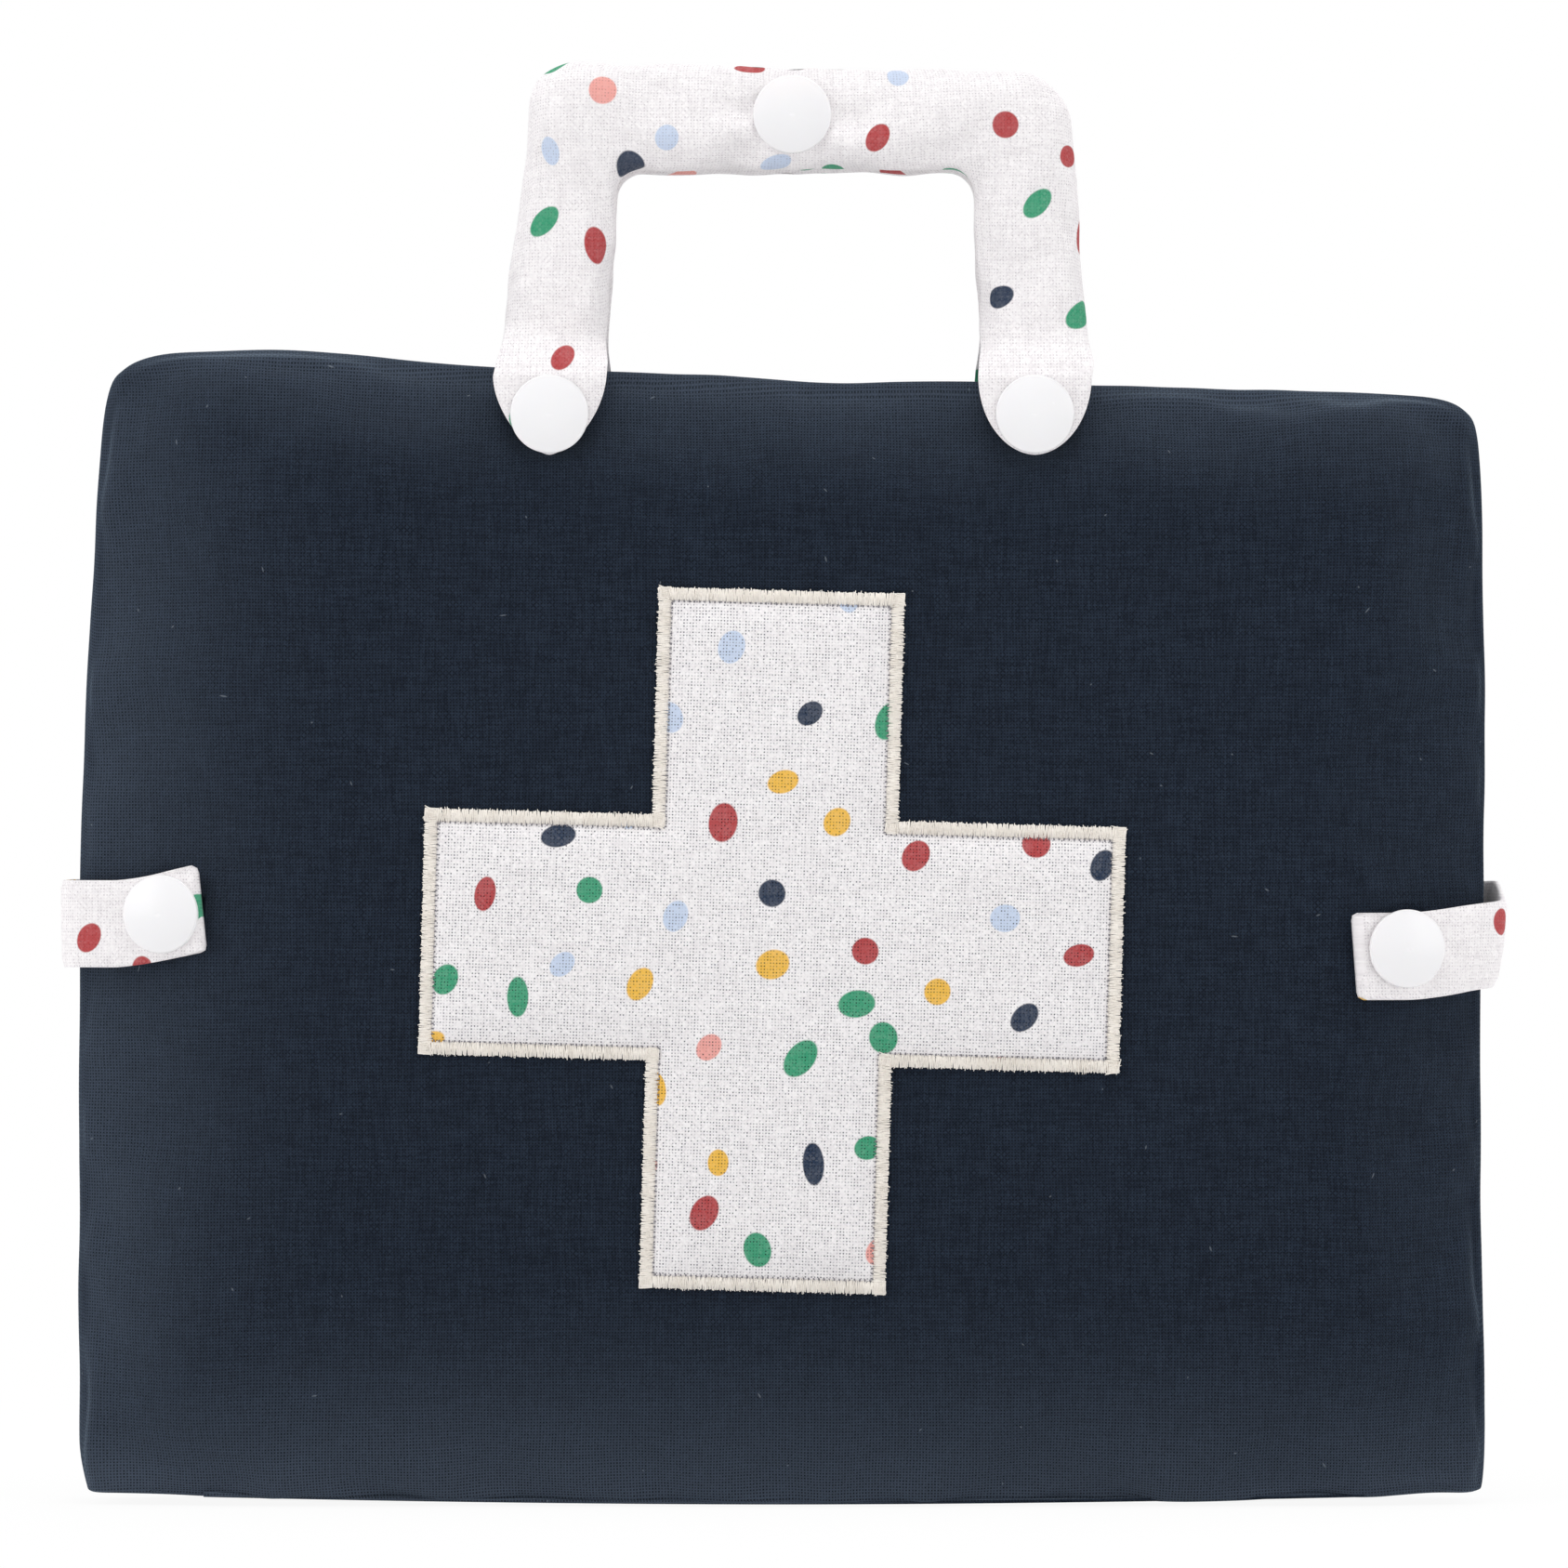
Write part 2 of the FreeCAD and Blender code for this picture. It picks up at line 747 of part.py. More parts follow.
def build_straps():
    for name, side in (("left", -1), ("right", 1)):
        export(strap_tongue(side), name + "_strap_tongue")
        export(strap_side(side), name + "_strap_side")


os.makedirs("parts", exist_ok=True)
build_base()
build_front()
build_back()
build_handles()
build_straps()
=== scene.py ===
import json
import math

import bpy
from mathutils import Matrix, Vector, noise
from mathutils.bvhtree import BVHTree


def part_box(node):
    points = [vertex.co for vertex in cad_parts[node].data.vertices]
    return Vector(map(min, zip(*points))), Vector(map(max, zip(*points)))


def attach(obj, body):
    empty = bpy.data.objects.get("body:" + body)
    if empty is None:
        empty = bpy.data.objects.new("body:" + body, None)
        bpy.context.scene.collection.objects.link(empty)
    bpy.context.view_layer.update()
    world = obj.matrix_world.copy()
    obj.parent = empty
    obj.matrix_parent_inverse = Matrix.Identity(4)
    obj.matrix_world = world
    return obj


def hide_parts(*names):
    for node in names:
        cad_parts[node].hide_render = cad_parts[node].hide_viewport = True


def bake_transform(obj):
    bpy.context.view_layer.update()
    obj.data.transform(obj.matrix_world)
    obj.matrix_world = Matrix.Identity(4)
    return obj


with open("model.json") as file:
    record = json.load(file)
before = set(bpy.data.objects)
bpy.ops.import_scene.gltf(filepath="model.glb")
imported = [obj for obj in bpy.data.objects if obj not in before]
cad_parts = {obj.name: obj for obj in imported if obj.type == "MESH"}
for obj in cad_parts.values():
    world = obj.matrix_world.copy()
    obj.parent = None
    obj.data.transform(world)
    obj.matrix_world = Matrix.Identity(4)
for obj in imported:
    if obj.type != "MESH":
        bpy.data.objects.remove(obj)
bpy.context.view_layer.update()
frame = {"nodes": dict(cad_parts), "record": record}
scene = bpy.context.scene
mm = 0.001


# Front and back panel: two layers of navy plain-weave cotton sewn together round a sheet of
# polyester wadding and turned right side out. The seams draw the edges in, the top is a
# little crooked as sewn, and each panel is bevelled at the bottom where the mat folds.

panel_low, panel_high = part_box("front_cover")
half_width = panel_high.x
outer_face = -panel_low.y
inner_face = -panel_high.y
bag_height = 179.0 * mm
sewn_skew = math.radians(1.6)
lining_room = 0.9 * mm
facings = {"front": -1, "back": 1}

# Outline from the front: each hump is its height, its place along the edge and its spread.
top_shrink = 0.6 * mm
top_crest = (2.0 * mm, -82 * mm, 22 * mm)
handle_sag = (0.8 * mm, 6 * mm, 13 * mm)
bottom_lift = 1.7 * mm
bottom_curve = 1.8
bottom_sink = 0.2 * mm
left_bulge = 0.5 * mm
left_lean = 4.2 * mm
left_lean_start = 100.0 * mm
left_lean_curve = 1.3
right_waist = (0.9 * mm, 62 * mm, 40 * mm)
right_lean = 0.8 * mm
right_lean_heights = (120 * mm, 175 * mm)
top_corner_radius = 9.5 * mm
bottom_corner_radius = 2.4 * mm

# Section: a crown is how far in it starts and how deep it falls. The seam lies in a groove, given by
# its depth, inset and spread, and draws in the rim, which bulges again on both sides of the seam.
top_crown = (18.0 * mm, 1.4 * mm)
fold_crown = (24.0 * mm, 0.6 * mm)
side_slope_width = 25.0 * mm
side_slope_radius = 40.0 * mm
top_round = 4.2 * mm
fold_round = 2.2 * mm
seam_groove = (0.2 * mm, 1.0 * mm, 0.6 * mm)
rim_bulge = 1.2 * mm
rim_width = 1.5 * mm
rim_profile = (0.95, 0.35, 0.95)
rim_start = (0.2 * mm, 4 * mm)
inner_cloth_shift = 0.3
stuffing_slack = 1.5 * mm
stuffing_swell = 1.6 * mm


def linear(code):
    """sRGB hex colour as the linear RGBA that a shader socket takes."""
    shares = [int(code[i:i + 2], 16) / 255 for i in (1, 3, 5)]
    return [s / 12.92 if s <= 0.04045 else ((s + 0.055) / 1.055) ** 2.4 for s in shares] + [1.0]


def add_node(tree, kind, inputs=None, **settings):
    """Adds one node with its settings; an input is a value or the output that it is linked to."""
    node = tree.nodes.new(kind)
    for name, value in settings.items():
        setattr(node, name, value)
    for socket, value in (inputs or {}).items():
        if isinstance(value, bpy.types.NodeSocket):
            tree.links.new(value, node.inputs[socket])
        else:
            node.inputs[socket].default_value = value
    return node


def ease(low, high, value):
    """Smooth step from 0 at low to 1 at high."""
    share = min(1.0, max(0.0, (value - low) / (high - low)))
    return share * share * (3 - 2 * share)


def hump(value, height, middle, spread):
    """Smooth hump of this height at the middle, which dies away over the spread."""
    return height * math.exp(-((value - middle) / spread) ** 2)


def panel_top(x):
    """Height of the top edge: sewn askew, puffed left of the handle and sagging under it."""
    return bag_height - math.tan(sewn_skew) * x - top_shrink + hump(x, *top_crest) - hump(x, *handle_sag)


def panel_bottom(x):
    """Height of the lower edge, which lifts a little towards both ends."""
    return bottom_lift * abs(x / half_width) ** bottom_curve - bottom_sink


def panel_left(z):
    """Left edge: upright below, leaning in above."""
    lean = max(0.0, z - left_lean_start) / (bag_height - left_lean_start)
    return -half_width - left_bulge + left_lean * lean ** left_lean_curve


def panel_right(z):
    """Right edge: waisted below the middle, leaning in a little at the top."""
    return half_width - hump(z, *right_waist) - right_lean * ease(*right_lean_heights, z)


def side_distance(x, z):
    """Distance of a front-view place from the nearer side edge."""
    return min(x - panel_left(z), panel_right(z) - x)


def round_off(distance, radius):
    """How far a rounded edge has fallen away at this distance from it."""
    short = max(0.0, radius - distance)
    return radius - math.sqrt(max(0.0, radius ** 2 - short ** 2))


def side_drop(x, z):
    """How far the outer face has sloped back near the sides."""
    reach = max(0.0, side_slope_width - max(0.0, side_distance(x, z)))
    return side_slope_radius - math.sqrt(side_slope_radius ** 2 - reach ** 2)


def crown_drop(x, z):
    """How far the padded face has fallen back towards the top edge and the fold."""
    drop = 0.0
    for (width, depth), near in ((top_crown, panel_top(x) - z), (fold_crown, z - panel_bottom(x))):
        drop += depth * max(0.0, 1 - max(0.0, near) / width) ** 2
    return drop


def edge_steps(count):
    """Shares from 0 to 1, close together near both ends where the cloth turns over the edge."""
    ends = [0.0, 0.004, 0.011, 0.022, 0.042]
    first, span = 0.07, 0.86
    middle = [first + span * i / (count - 1) for i in range(count)]
    return ends + middle + [1 - share for share in reversed(ends)]


def rounded_corner(x, z, corner_x, corner_z, radius):
    """Pulls a point near a square corner onto a rounded one; the corner is the arc's middle."""
    dx = (x - corner_x) / radius * (1 if x > 0 else -1)
    dz = (z - corner_z) / radius * (1 if corner_z > bag_height / 2 else -1)
    if dx <= 0 or dz <= 0:
        return x, z
    pull = max(dx, dz) / math.hypot(dx, dz)
    return corner_x + (x - corner_x) * pull, corner_z + (z - corner_z) * pull


def panel_spot(across, up, floor):
    """Front-view place of a point at these shares of the panel, above a floor height."""
    x = half_width * (across * 2 - 1)
    low = max(panel_bottom(x), floor)
    z = low + (panel_top(x) - low) * up
    x = panel_left(z) + (panel_right(z) - panel_left(z)) * across
    edge = panel_left(z) if x < 0 else panel_right(z)
    inward = -1 if x > 0 else 1
    for radius, corner_z in ((top_corner_radius, panel_top(x) - top_corner_radius),
                             (bottom_corner_radius, low + bottom_corner_radius)):
        x, z = rounded_corner(x, z, edge + inward * radius, corner_z, radius)
    return x, z


def make_piece(name, points, faces, places):
    """Mesh object with a UV map in metres of cloth, so that a weave keeps its real size."""
    mesh = bpy.data.meshes.new(name)
    mesh.from_pydata(points, [], faces)
    layer = mesh.uv_layers.new(name="cloth")
    corners = [place for face in places for place in face]
    for corner, place in zip(layer.data, corners):
        corner.uv = place
    mesh.shade_smooth()
    piece = bpy.data.objects.new(name, mesh)
    scene.collection.objects.link(piece)
    return piece


def panel_piece(name, facing, slack):
    """Closed cover of a panel, smaller by slack than the room it fills once it is stuffed."""
    across_steps = edge_steps(38)
    up_steps = edge_steps(30)
    cuts = {"outer": 0.0, "inner": outer_face - inner_face}
    columns = len(across_steps)
    rows = len(up_steps)
    points = []
    spots = []
    # The inner layer is cut higher, so that the panel is bevelled at the fold.
    for layer, floor in cuts.items():
        for up in up_steps:
            for across in across_steps:
                x, z = panel_spot(across, up, floor)
                side = 1 if x > 0 else -1
                if layer == "outer":
                    depth = outer_face - slack - side_drop(x, z) - crown_drop(x, z)
                    depth -= round_off(panel_top(x) - z, top_round)
                    depth -= round_off(z - panel_bottom(x), fold_round)
                    depth -= hump(side_distance(x, z), *seam_groove)
                else:
                    depth = inner_face + lining_room + round_off(panel_top(x) - z, top_round / 2)
                drawn_in = hump(side_distance(x, z), rim_bulge, 0, rim_width)
                if x > 0:
                    drawn_in *= ease(*rim_start, z - panel_bottom(x))
                points.append((x - side * drawn_in, depth * facing, z))
                spots.append((x, z))
    faces = []
    places = []
    inner_start = columns * rows
    for row in range(rows - 1):
        for column in range(columns - 1):
            a = row * columns + column
            quad = (a, a + 1, a + columns + 1, a + columns)
            faces.append(quad if facing < 0 else quad[::-1])
            places.append([spots[i] for i in faces[-1]])
            quad = tuple(i + inner_start for i in quad)
            faces.append(quad[::-1] if facing < 0 else quad)
            places.append([(inner_cloth_shift - spots[i][0], spots[i][1]) for i in faces[-1]])
    # The rim joins the two layers all round, and points outward from the panel's outline.
    border = list(range(columns))
    border += [row * columns + columns - 1 for row in range(1, rows)]
    border += [(rows - 1) * columns + i for i in range(columns - 2, -1, -1)]
    border += [row * columns for row in range(rows - 2, 0, -1)]
    rings = [border]
    outward = []
    for k in range(len(border)):
        before = Vector(spots[border[k - 1]])
        after = Vector(spots[border[(k + 1) % len(border)]])
        run = (after - before).normalized()
        outward.append(Vector((run.y, -run.x)))
    bands = len(rim_profile) + 1
    for ring, fullness in enumerate(rim_profile, 1):
        start = len(points)
        for k, i in enumerate(border):
            here = Vector(points[i]).lerp(Vector(points[i + inner_start]), ring / bands)
            bulge = rim_bulge * fullness
            bulge *= ease(*rim_start, spots[i][1] - panel_bottom(spots[i][0]))
            points.append((here.x + outward[k].x * bulge, here.y, here.z + outward[k].y * bulge))
        rings.append([start + k for k in range(len(border))])
    rings.append([i + inner_start for i in border])
    step = (outer_face - inner_face) / 2 / bands
    for ring in range(len(rings) - 1):
        for k in range(len(border)):
            after = (k + 1) % len(border)
            quad = (rings[ring][k], rings[ring + 1][k], rings[ring + 1][after], rings[ring][after])
            corner = [(ring, k), (ring + 1, k), (ring + 1, after), (ring, after)]
            if facing > 0:
                quad = quad[::-1]
                corner = corner[::-1]
            faces.append(quad)
            places.append([tuple(Vector(spots[border[j]]) + outward[j] * step * r) for r, j in corner])
    seam = {i for ring in rings for i in ring}
    return make_piece(name, points, faces, places), seam


def settle(piece):
    """Turns a piece with live modifiers into a plain mesh."""
    graph = bpy.context.evaluated_depsgraph_get()
    mesh = bpy.data.meshes.new_from_object(piece.evaluated_get(graph))
    piece.modifiers.clear()
    piece.data = mesh
    mesh.name = piece.name


def puff(piece, held, swell):
    """Fills a sewn cover: cloth pressure swells it, held points stay and none moves past swell."""
    group = piece.vertex_groups.new(name="held")
    group.add(sorted(held), 1.0, "REPLACE")
    cloth = piece.modifiers.new("filling", "CLOTH")
    cloth.settings.vertex_group_mass = "held"
    cloth.settings.mass = 0.02
    cloth.settings.tension_stiffness = 8
    cloth.settings.compression_stiffness = 8
    cloth.settings.bending_stiffness = 0.2
    cloth.settings.shrink_min = -0.02
    cloth.settings.use_pressure = True
    cloth.settings.uniform_pressure_force = 4
    cloth.settings.effector_weights.gravity = 0
    frames = 8
    cloth.point_cache.frame_start = 1
    cloth.point_cache.frame_end = frames
    for count in range(1, frames + 1):
        scene.frame_set(count)
    graph = bpy.context.evaluated_depsgraph_get()
    swollen = [v.co.copy() for v in piece.evaluated_get(graph).data.vertices]
    piece.modifiers.remove(cloth)
    piece.vertex_groups.remove(group)
    for vertex, target in zip(piece.data.vertices, swollen):
        step = target - vertex.co
        if step.length > swell:
            step *= swell / step.length
        vertex.co += step
    scene.frame_set(1)


def subdivide(piece, levels):
    """Smooths a piece and makes the result a plain mesh."""
    smooth = piece.modifiers.new("smooth", "SUBSURF")
    smooth.levels = levels
    smooth.render_levels = levels
    settle(piece)


def node_middle(node):
    """Middle of a node's box."""
    low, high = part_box(node)
    return (low + high) / 2


def weave(tree, pitch, wander, hole_edge, open_least, open_most):
    """Plain weave on the cloth's own places: thread height, gaps between threads, thread tone.
    Threads wander by a share of the pitch, and a gap is open by a chance from least to most."""
    drift_length = pitch / 0.09
    slub = 0.14
    gap_core = hole_edge * 0.35
    place = add_node(tree, "ShaderNodeUVMap", uv_map="cloth").outputs["UV"]
    drift = add_node(tree, "ShaderNodeTexNoise",
                     {"Vector": place, "Scale": 1 / drift_length, "Detail": 2.0})
    sway = add_node(tree, "ShaderNodeVectorMath",
                    {0: drift.outputs["Color"], "Scale": wander}, operation="SCALE")
    thread = add_node(tree, "ShaderNodeVectorMath",
                      {0: place, 1: (1 / pitch,) * 3, 2: sway.outputs[0]}, operation="MULTIPLY_ADD")
    part = add_node(tree, "ShaderNodeSeparateXYZ", {0: thread.outputs[0]})
    flat = add_node(tree, "ShaderNodeCombineXYZ", {0: part.outputs[0], 1: part.outputs[1], 2: 0.5})
    nudged = add_node(tree, "ShaderNodeVectorMath", {0: flat.outputs[0], 1: (0.5, 0.5, 0.0)})
    warp = add_node(tree, "ShaderNodeMath", {0: part.outputs[0], 1: 0.5}, operation="PINGPONG")
    weft = add_node(tree, "ShaderNodeMath", {0: part.outputs[1], 1: 0.5}, operation="PINGPONG")
    over = add_node(tree, "ShaderNodeTexChecker", {"Vector": flat.outputs[0], "Scale": 1.0})
    height = add_node(tree, "ShaderNodeMix",
                      {0: over.outputs["Fac"], 2: warp.outputs[0], 3: weft.outputs[0]})
    nearest = add_node(tree, "ShaderNodeMath",
                       {0: warp.outputs[0], 1: weft.outputs[0]}, operation="MAXIMUM")
    gap = add_node(tree, "ShaderNodeMapRange",
                   {0: nearest.outputs[0], 1: gap_core, 2: hole_edge, 3: 1.0, 4: 0.0})
    hole = add_node(tree, "ShaderNodeVectorMath", {0: nudged.outputs[0]}, operation="FLOOR")
    chance = add_node(tree, "ShaderNodeTexWhiteNoise",
                      {"Vector": hole.outputs[0]}, noise_dimensions="2D")
    open_share = add_node(tree, "ShaderNodeMapRange",
                          {0: chance.outputs["Value"], 3: open_least, 4: open_most})
    gap = add_node(tree, "ShaderNodeMath",
                   {0: gap.outputs[0], 1: open_share.outputs[0]}, operation="MULTIPLY")
    tones = []
    for stretch in ((1.0, slub, 1.0), (slub, 1.0, 1.0)):
        long_way = add_node(tree, "ShaderNodeVectorMath",
                            {0: flat.outputs[0], 1: stretch}, operation="MULTIPLY")
        streak = add_node(tree, "ShaderNodeTexNoise",
                          {"Vector": long_way.outputs[0], "Scale": 1.0, "Detail": 1.0})
        tones.append(streak.outputs["Fac"])
    tone = add_node(tree, "ShaderNodeMix", {0: over.outputs["Fac"], 2: tones[0], 3: tones[1]})
    return height.outputs[0], gap.outputs[0], tone.outputs[0]


def cloth_surface(tree, colour, height, depth, roughness, sheen):
    """Matt woven surface: the threads stand up by depth, and fibre ends catch a little light."""
    bump = add_node(tree, "ShaderNodeBump", {"Height": height, "Strength": 0.9, "Distance": depth})
    return add_node(tree, "ShaderNodeBsdfPrincipled", {
        "Base Color": colour, "Roughness": roughness, "Normal": bump.outputs[0],
        "Sheen Weight": sheen, "Sheen Roughness": 0.3, "Specular IOR Level": 0.1})


def new_material(name):
    """Empty material and its node tree."""
    material = bpy.data.materials.new(name)
    material.use_nodes = True
    material.node_tree.nodes.clear()
    return material, material.node_tree


def scattered(tree, spacing, randomness, wide, long, angle):
    """Ovals strewn over the cloth, one in each cell: distance in radii, and three chances a cell.
    Wide and long give the range of half sizes as shares of the spacing."""
    place = add_node(tree, "ShaderNodeUVMap", uv_map="cloth").outputs["UV"]
    laid = add_node(tree, "ShaderNodeMapping", {
        "Vector": place, "Location": (0.37, 0.61, 0.0), "Rotation": (0.0, 0.0, 0.5),
        "Scale": (1 / spacing, 1 / spacing, 1.0)})
    cells = add_node(tree, "ShaderNodeTexVoronoi", {
        "Vector": laid.outputs[0], "Scale": 1.0, "Randomness": randomness}, voronoi_dimensions="2D")
    chance = add_node(tree, "ShaderNodeSeparateColor", {0: cells.outputs["Color"]}).outputs
    offset = add_node(tree, "ShaderNodeVectorMath",
                      {0: laid.outputs[0], 1: cells.outputs["Position"]}, operation="SUBTRACT")
    turn = add_node(tree, "ShaderNodeMapRange", {0: chance[0], 3: -angle, 4: angle})
    turned = add_node(tree, "ShaderNodeVectorRotate", {
        "Vector": offset.outputs[0], "Angle": turn.outputs[0]}, rotation_type="Z_AXIS")
    across = add_node(tree, "ShaderNodeMapRange", {0: chance[2], 3: 1 / wide[0], 4: 1 / wide[1]})
    along = add_node(tree, "ShaderNodeMapRange", {0: chance[1], 3: 1 / long[0], 4: 1 / long[1]})
    shrink = add_node(tree, "ShaderNodeCombineXYZ", {0: across.outputs[0], 1: along.outputs[0]})
    oval = add_node(tree, "ShaderNodeVectorMath",
                    {0: turned.outputs[0], 1: shrink.outputs[0]}, operation="MULTIPLY")
    radius = add_node(tree, "ShaderNodeVectorMath", {0: oval.outputs[0]}, operation="LENGTH")
    return radius.outputs["Value"], chance


def navy_cotton():
    """Dyed plain-weave cotton, 0.49 mm between threads: slubs make paler flecks along the threads,
    painted edge light makes the colour paler towards the edges, most at the bottom and the left,
    loose fibre ends give a faint blue sheen, and bits of lint 0.3 to 1.3 mm long cling to it."""
    material, tree = new_material("navy_cotton")
    height, gap, tone = weave(tree, pitch=0.49 * mm, wander=0.5, hole_edge=0.38,
                              open_least=0.65, open_most=1.0)
    dye = add_node(tree, "ShaderNodeValToRGB", {0: tone})
    for stop, spot, code in zip(dye.color_ramp.elements, (0.30, 0.72), ("#151C28", "#26303F")):
        stop.position = spot
        stop.color = linear(code)
    place = add_node(tree, "ShaderNodeUVMap", uv_map="cloth").outputs["UV"]
    part = add_node(tree, "ShaderNodeSeparateXYZ", {0: place})
    level = add_node(tree, "ShaderNodeMath", {
        0: part.outputs[0], 1: math.tan(sewn_skew), 2: part.outputs[1]}, operation="MULTIPLY_ADD")
    # Painted edge light at the left, right, top and bottom: where it starts, where it ends and its share
    # there.
    painted_edge_light = ((part, -half_width + 48 * mm, -half_width, 0.47),
            (part, half_width - 26 * mm, half_width, 0.10),
            (level, bag_height - 24 * mm, bag_height, 0.44),
            (level, 40 * mm, 0.0, 0.66))
    painted_edge_mask = 0.0
    for reach, start, end, share in painted_edge_light:
        near = add_node(tree, "ShaderNodeMapRange",
                        {0: reach.outputs[0], 1: start, 2: end, 3: 0.0, 4: math.sqrt(share)})
        most = add_node(tree, "ShaderNodeMath", {0: near.outputs[0], 1: painted_edge_mask}, operation="MAXIMUM")
        painted_edge_mask = most.outputs[0]
    painted_edge_share = add_node(tree, "ShaderNodeMath", {0: painted_edge_mask, 1: 2.0}, operation="POWER")
    # Painted highlight: near the edges the colour is mixed towards a paler blue-grey, standing in for
    # the light that the edges catch.
    edge_lit_dye = add_node(tree, "ShaderNodeMix",
                      {0: painted_edge_share.outputs[0], 6: dye.outputs[0], 7: linear("#505A69")}, data_type="RGBA")
    deep = add_node(tree, "ShaderNodeMix",
                    {0: gap, 6: edge_lit_dye.outputs[2], 7: linear("#05070C")}, data_type="RGBA")
    fibre, luck = scattered(tree, spacing=11 * mm, randomness=1.0, wide=(0.006, 0.012),
                            long=(0.015, 0.06), angle=2.6)
    lint_rarity, lint_strength = 0.7, 0.22
    rare = add_node(tree, "ShaderNodeMath", {0: luck[2], 1: lint_rarity}, operation="GREATER_THAN")
    strand = add_node(tree, "ShaderNodeMapRange", {0: fibre, 1: 1.2, 2: 0.6, 3: 0.0, 4: lint_strength})
    clinging = add_node(tree, "ShaderNodeMath",
                        {0: rare.outputs[0], 1: strand.outputs[0]}, operation="MULTIPLY")
    seen = add_node(tree, "ShaderNodeMix",
                    {0: clinging.outputs[0], 6: deep.outputs[2], 7: linear("#A9B2BC")}, data_type="RGBA")
    surface = cloth_surface(tree, seen.outputs[2], height, depth=0.12 * mm, roughness=0.9, sheen=0.24)
    surface.inputs["Sheen Roughness"].default_value = 0.45
    surface.inputs["Sheen Tint"].default_value = linear("#C8E2FA")
    add_node(tree, "ShaderNodeOutputMaterial", {0: surface.outputs[0]})
    return material


def snap_seats(panel):
    """Middle of each stud on a panel and the direction that its cap faces."""
    seats = []
    for node in frame["record"]["behaviour"]["bodies"][panel]:
        if node.endswith("_stud"):
            middle = node_middle(node)
            cap = node_middle(node.replace("_stud", "_cap"))
            seats.append((middle, (cap - middle).normalized()))
    return seats


def draw_in(piece, middle, direction, depth, radius, spread):
    """Presses a round dimple into soft cloth where a snap pulls it together."""
    for vertex in piece.data.vertices:
        offset = vertex.co - middle
        along = offset.dot(direction)
        away = (offset - direction * along).length
        if abs(along) < snap_pull and away < radius + spread:
            vertex.co -= direction * depth * (1 - ease(radius, radius + spread, away))


def pucker(piece, facing, seed):
    """Uneven filling over the face and small gathers along the sewn edges."""
    for vertex in piece.data.vertices:
        x = vertex.co.x
        z = vertex.co.z
        near = min(side_distance(x, z), panel_top(x) - z, z - panel_bottom(x) + fold_ease)
        broad = noise.noise(Vector((x, z, seed)) / lump_size) * lump_height
        gather = noise.noise(Vector((x, z, seed)) / gather_size) * gather_height
        gather *= math.exp(-max(0.0, near) / gather_size)
        fullness = ease(*lump_margin, near)
        vertex.co.y += facing * (broad * fullness + gather)
        vertex.co.z += gather * gather_slant
        vertex.co.x += noise.noise(Vector((z, x, seed)) / sway_size) * sway_width


snap_pull = 6 * mm
snap_dimple_depth = 2.6 * mm
snap_dimple_radius = 5.4 * mm
strap_dimple_spread = 1.2 * mm
foot_dimple_spread = 2.8 * mm
lump_size, lump_height = 46 * mm, 0.55 * mm
lump_margin = (2 * mm, 16 * mm)
gather_size, gather_height, gather_slant = 9 * mm, 0.5 * mm, 0.35
sway_size, sway_width = 14 * mm, 0.3 * mm
fold_ease = 3 * mm

navy = navy_cotton()
panels = {}
for side, facing in facings.items():
    body = side + "_panel"
    panel, seam = panel_piece(body, facing, stuffing_slack)
    puff(panel, seam, stuffing_swell)
    subdivide(panel, 2)
    pucker(panel, facing, 3.0 * facing)
    for middle, direction in snap_seats(body):
        spread = strap_dimple_spread if abs(middle.x) > half_width / 2 else foot_dimple_spread
        draw_in(panel, middle, direction, snap_dimple_depth, snap_dimple_radius, spread)
    panel.data.materials.append(navy)
    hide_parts(side + "_cover", side + "_wadding")
    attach(panel, body)
    panels[side] = panel


# Base: the middle of the folded mat, a navy strip with its own wadding, bevelled along both
# long sides so that the panels stand on it. The outer cloth runs on into the panels at two
# fold seams.

base_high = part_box("base_cover")[1]
base_gap = 0.9 * mm
base_inset = 5.0 * mm
base_tuck = 2.2 * mm
base_slack = 2.4 * mm
base_lift = 1.0 * mm
base_crown = 0.5 * mm
base_crown_start = 0.12
fold_seam_half = 92.0 * mm
fold_seam_start = 13.0 * mm
fold_seam_end = 16.0 * mm
fold_seam_lift = 1.2 * mm
fold_seam_fall = 0.7 * mm
fold_seam_thickness = 0.5 * mm


def grid_block(name, steps, shape):
    """Closed block with a grid on all six sides; shape places shares along its three ways."""
    index = {}
    points = []

    def corner(key):
        if key not in index:
            index[key] = len(points)
            points.append(shape(*(way[i] for way, i in zip(steps, key))))
        return index[key]

    faces = []
    places = []
    for way in range(3):
        one = (way + 1) % 3
        two = (way + 2) % 3
        for end in (0, len(steps[way]) - 1):
            for i in range(len(steps[one]) - 1):
                for j in range(len(steps[two]) - 1):
                    quad = []
                    for more_i, more_j in ((0, 0), (1, 0), (1, 1), (0, 1)):
                        key = [end, end, end]
                        key[one] = i + more_i
                        key[two] = j + more_j
                        quad.append(corner(tuple(key)))
                    if end == 0:
                        quad.reverse()
                    faces.append(quad)
                    places.append([(points[q][one], points[q][two]) for q in quad])
    return make_piece(name, points, faces, places)


def even_steps(count):
    """Shares from 0 to 1 with a close pair at each end, which keeps an edge crisp when smoothed."""
    close = 0.3 / count
    return [0.0, close] + [i / count for i in range(1, count)] + [1 - close, 1.0]


def base_reach(y):
    """Half length of the base at this depth: its ends follow the slope of the panels' sides."""
    drop = max(0.0, outer_face - base_slack - abs(y))
    slope = math.sqrt(max(0.0, 2 * side_slope_radius * drop - drop ** 2))
    return min(half_width - side_slope_width + slope, half_width - rim_bulge) - base_tuck


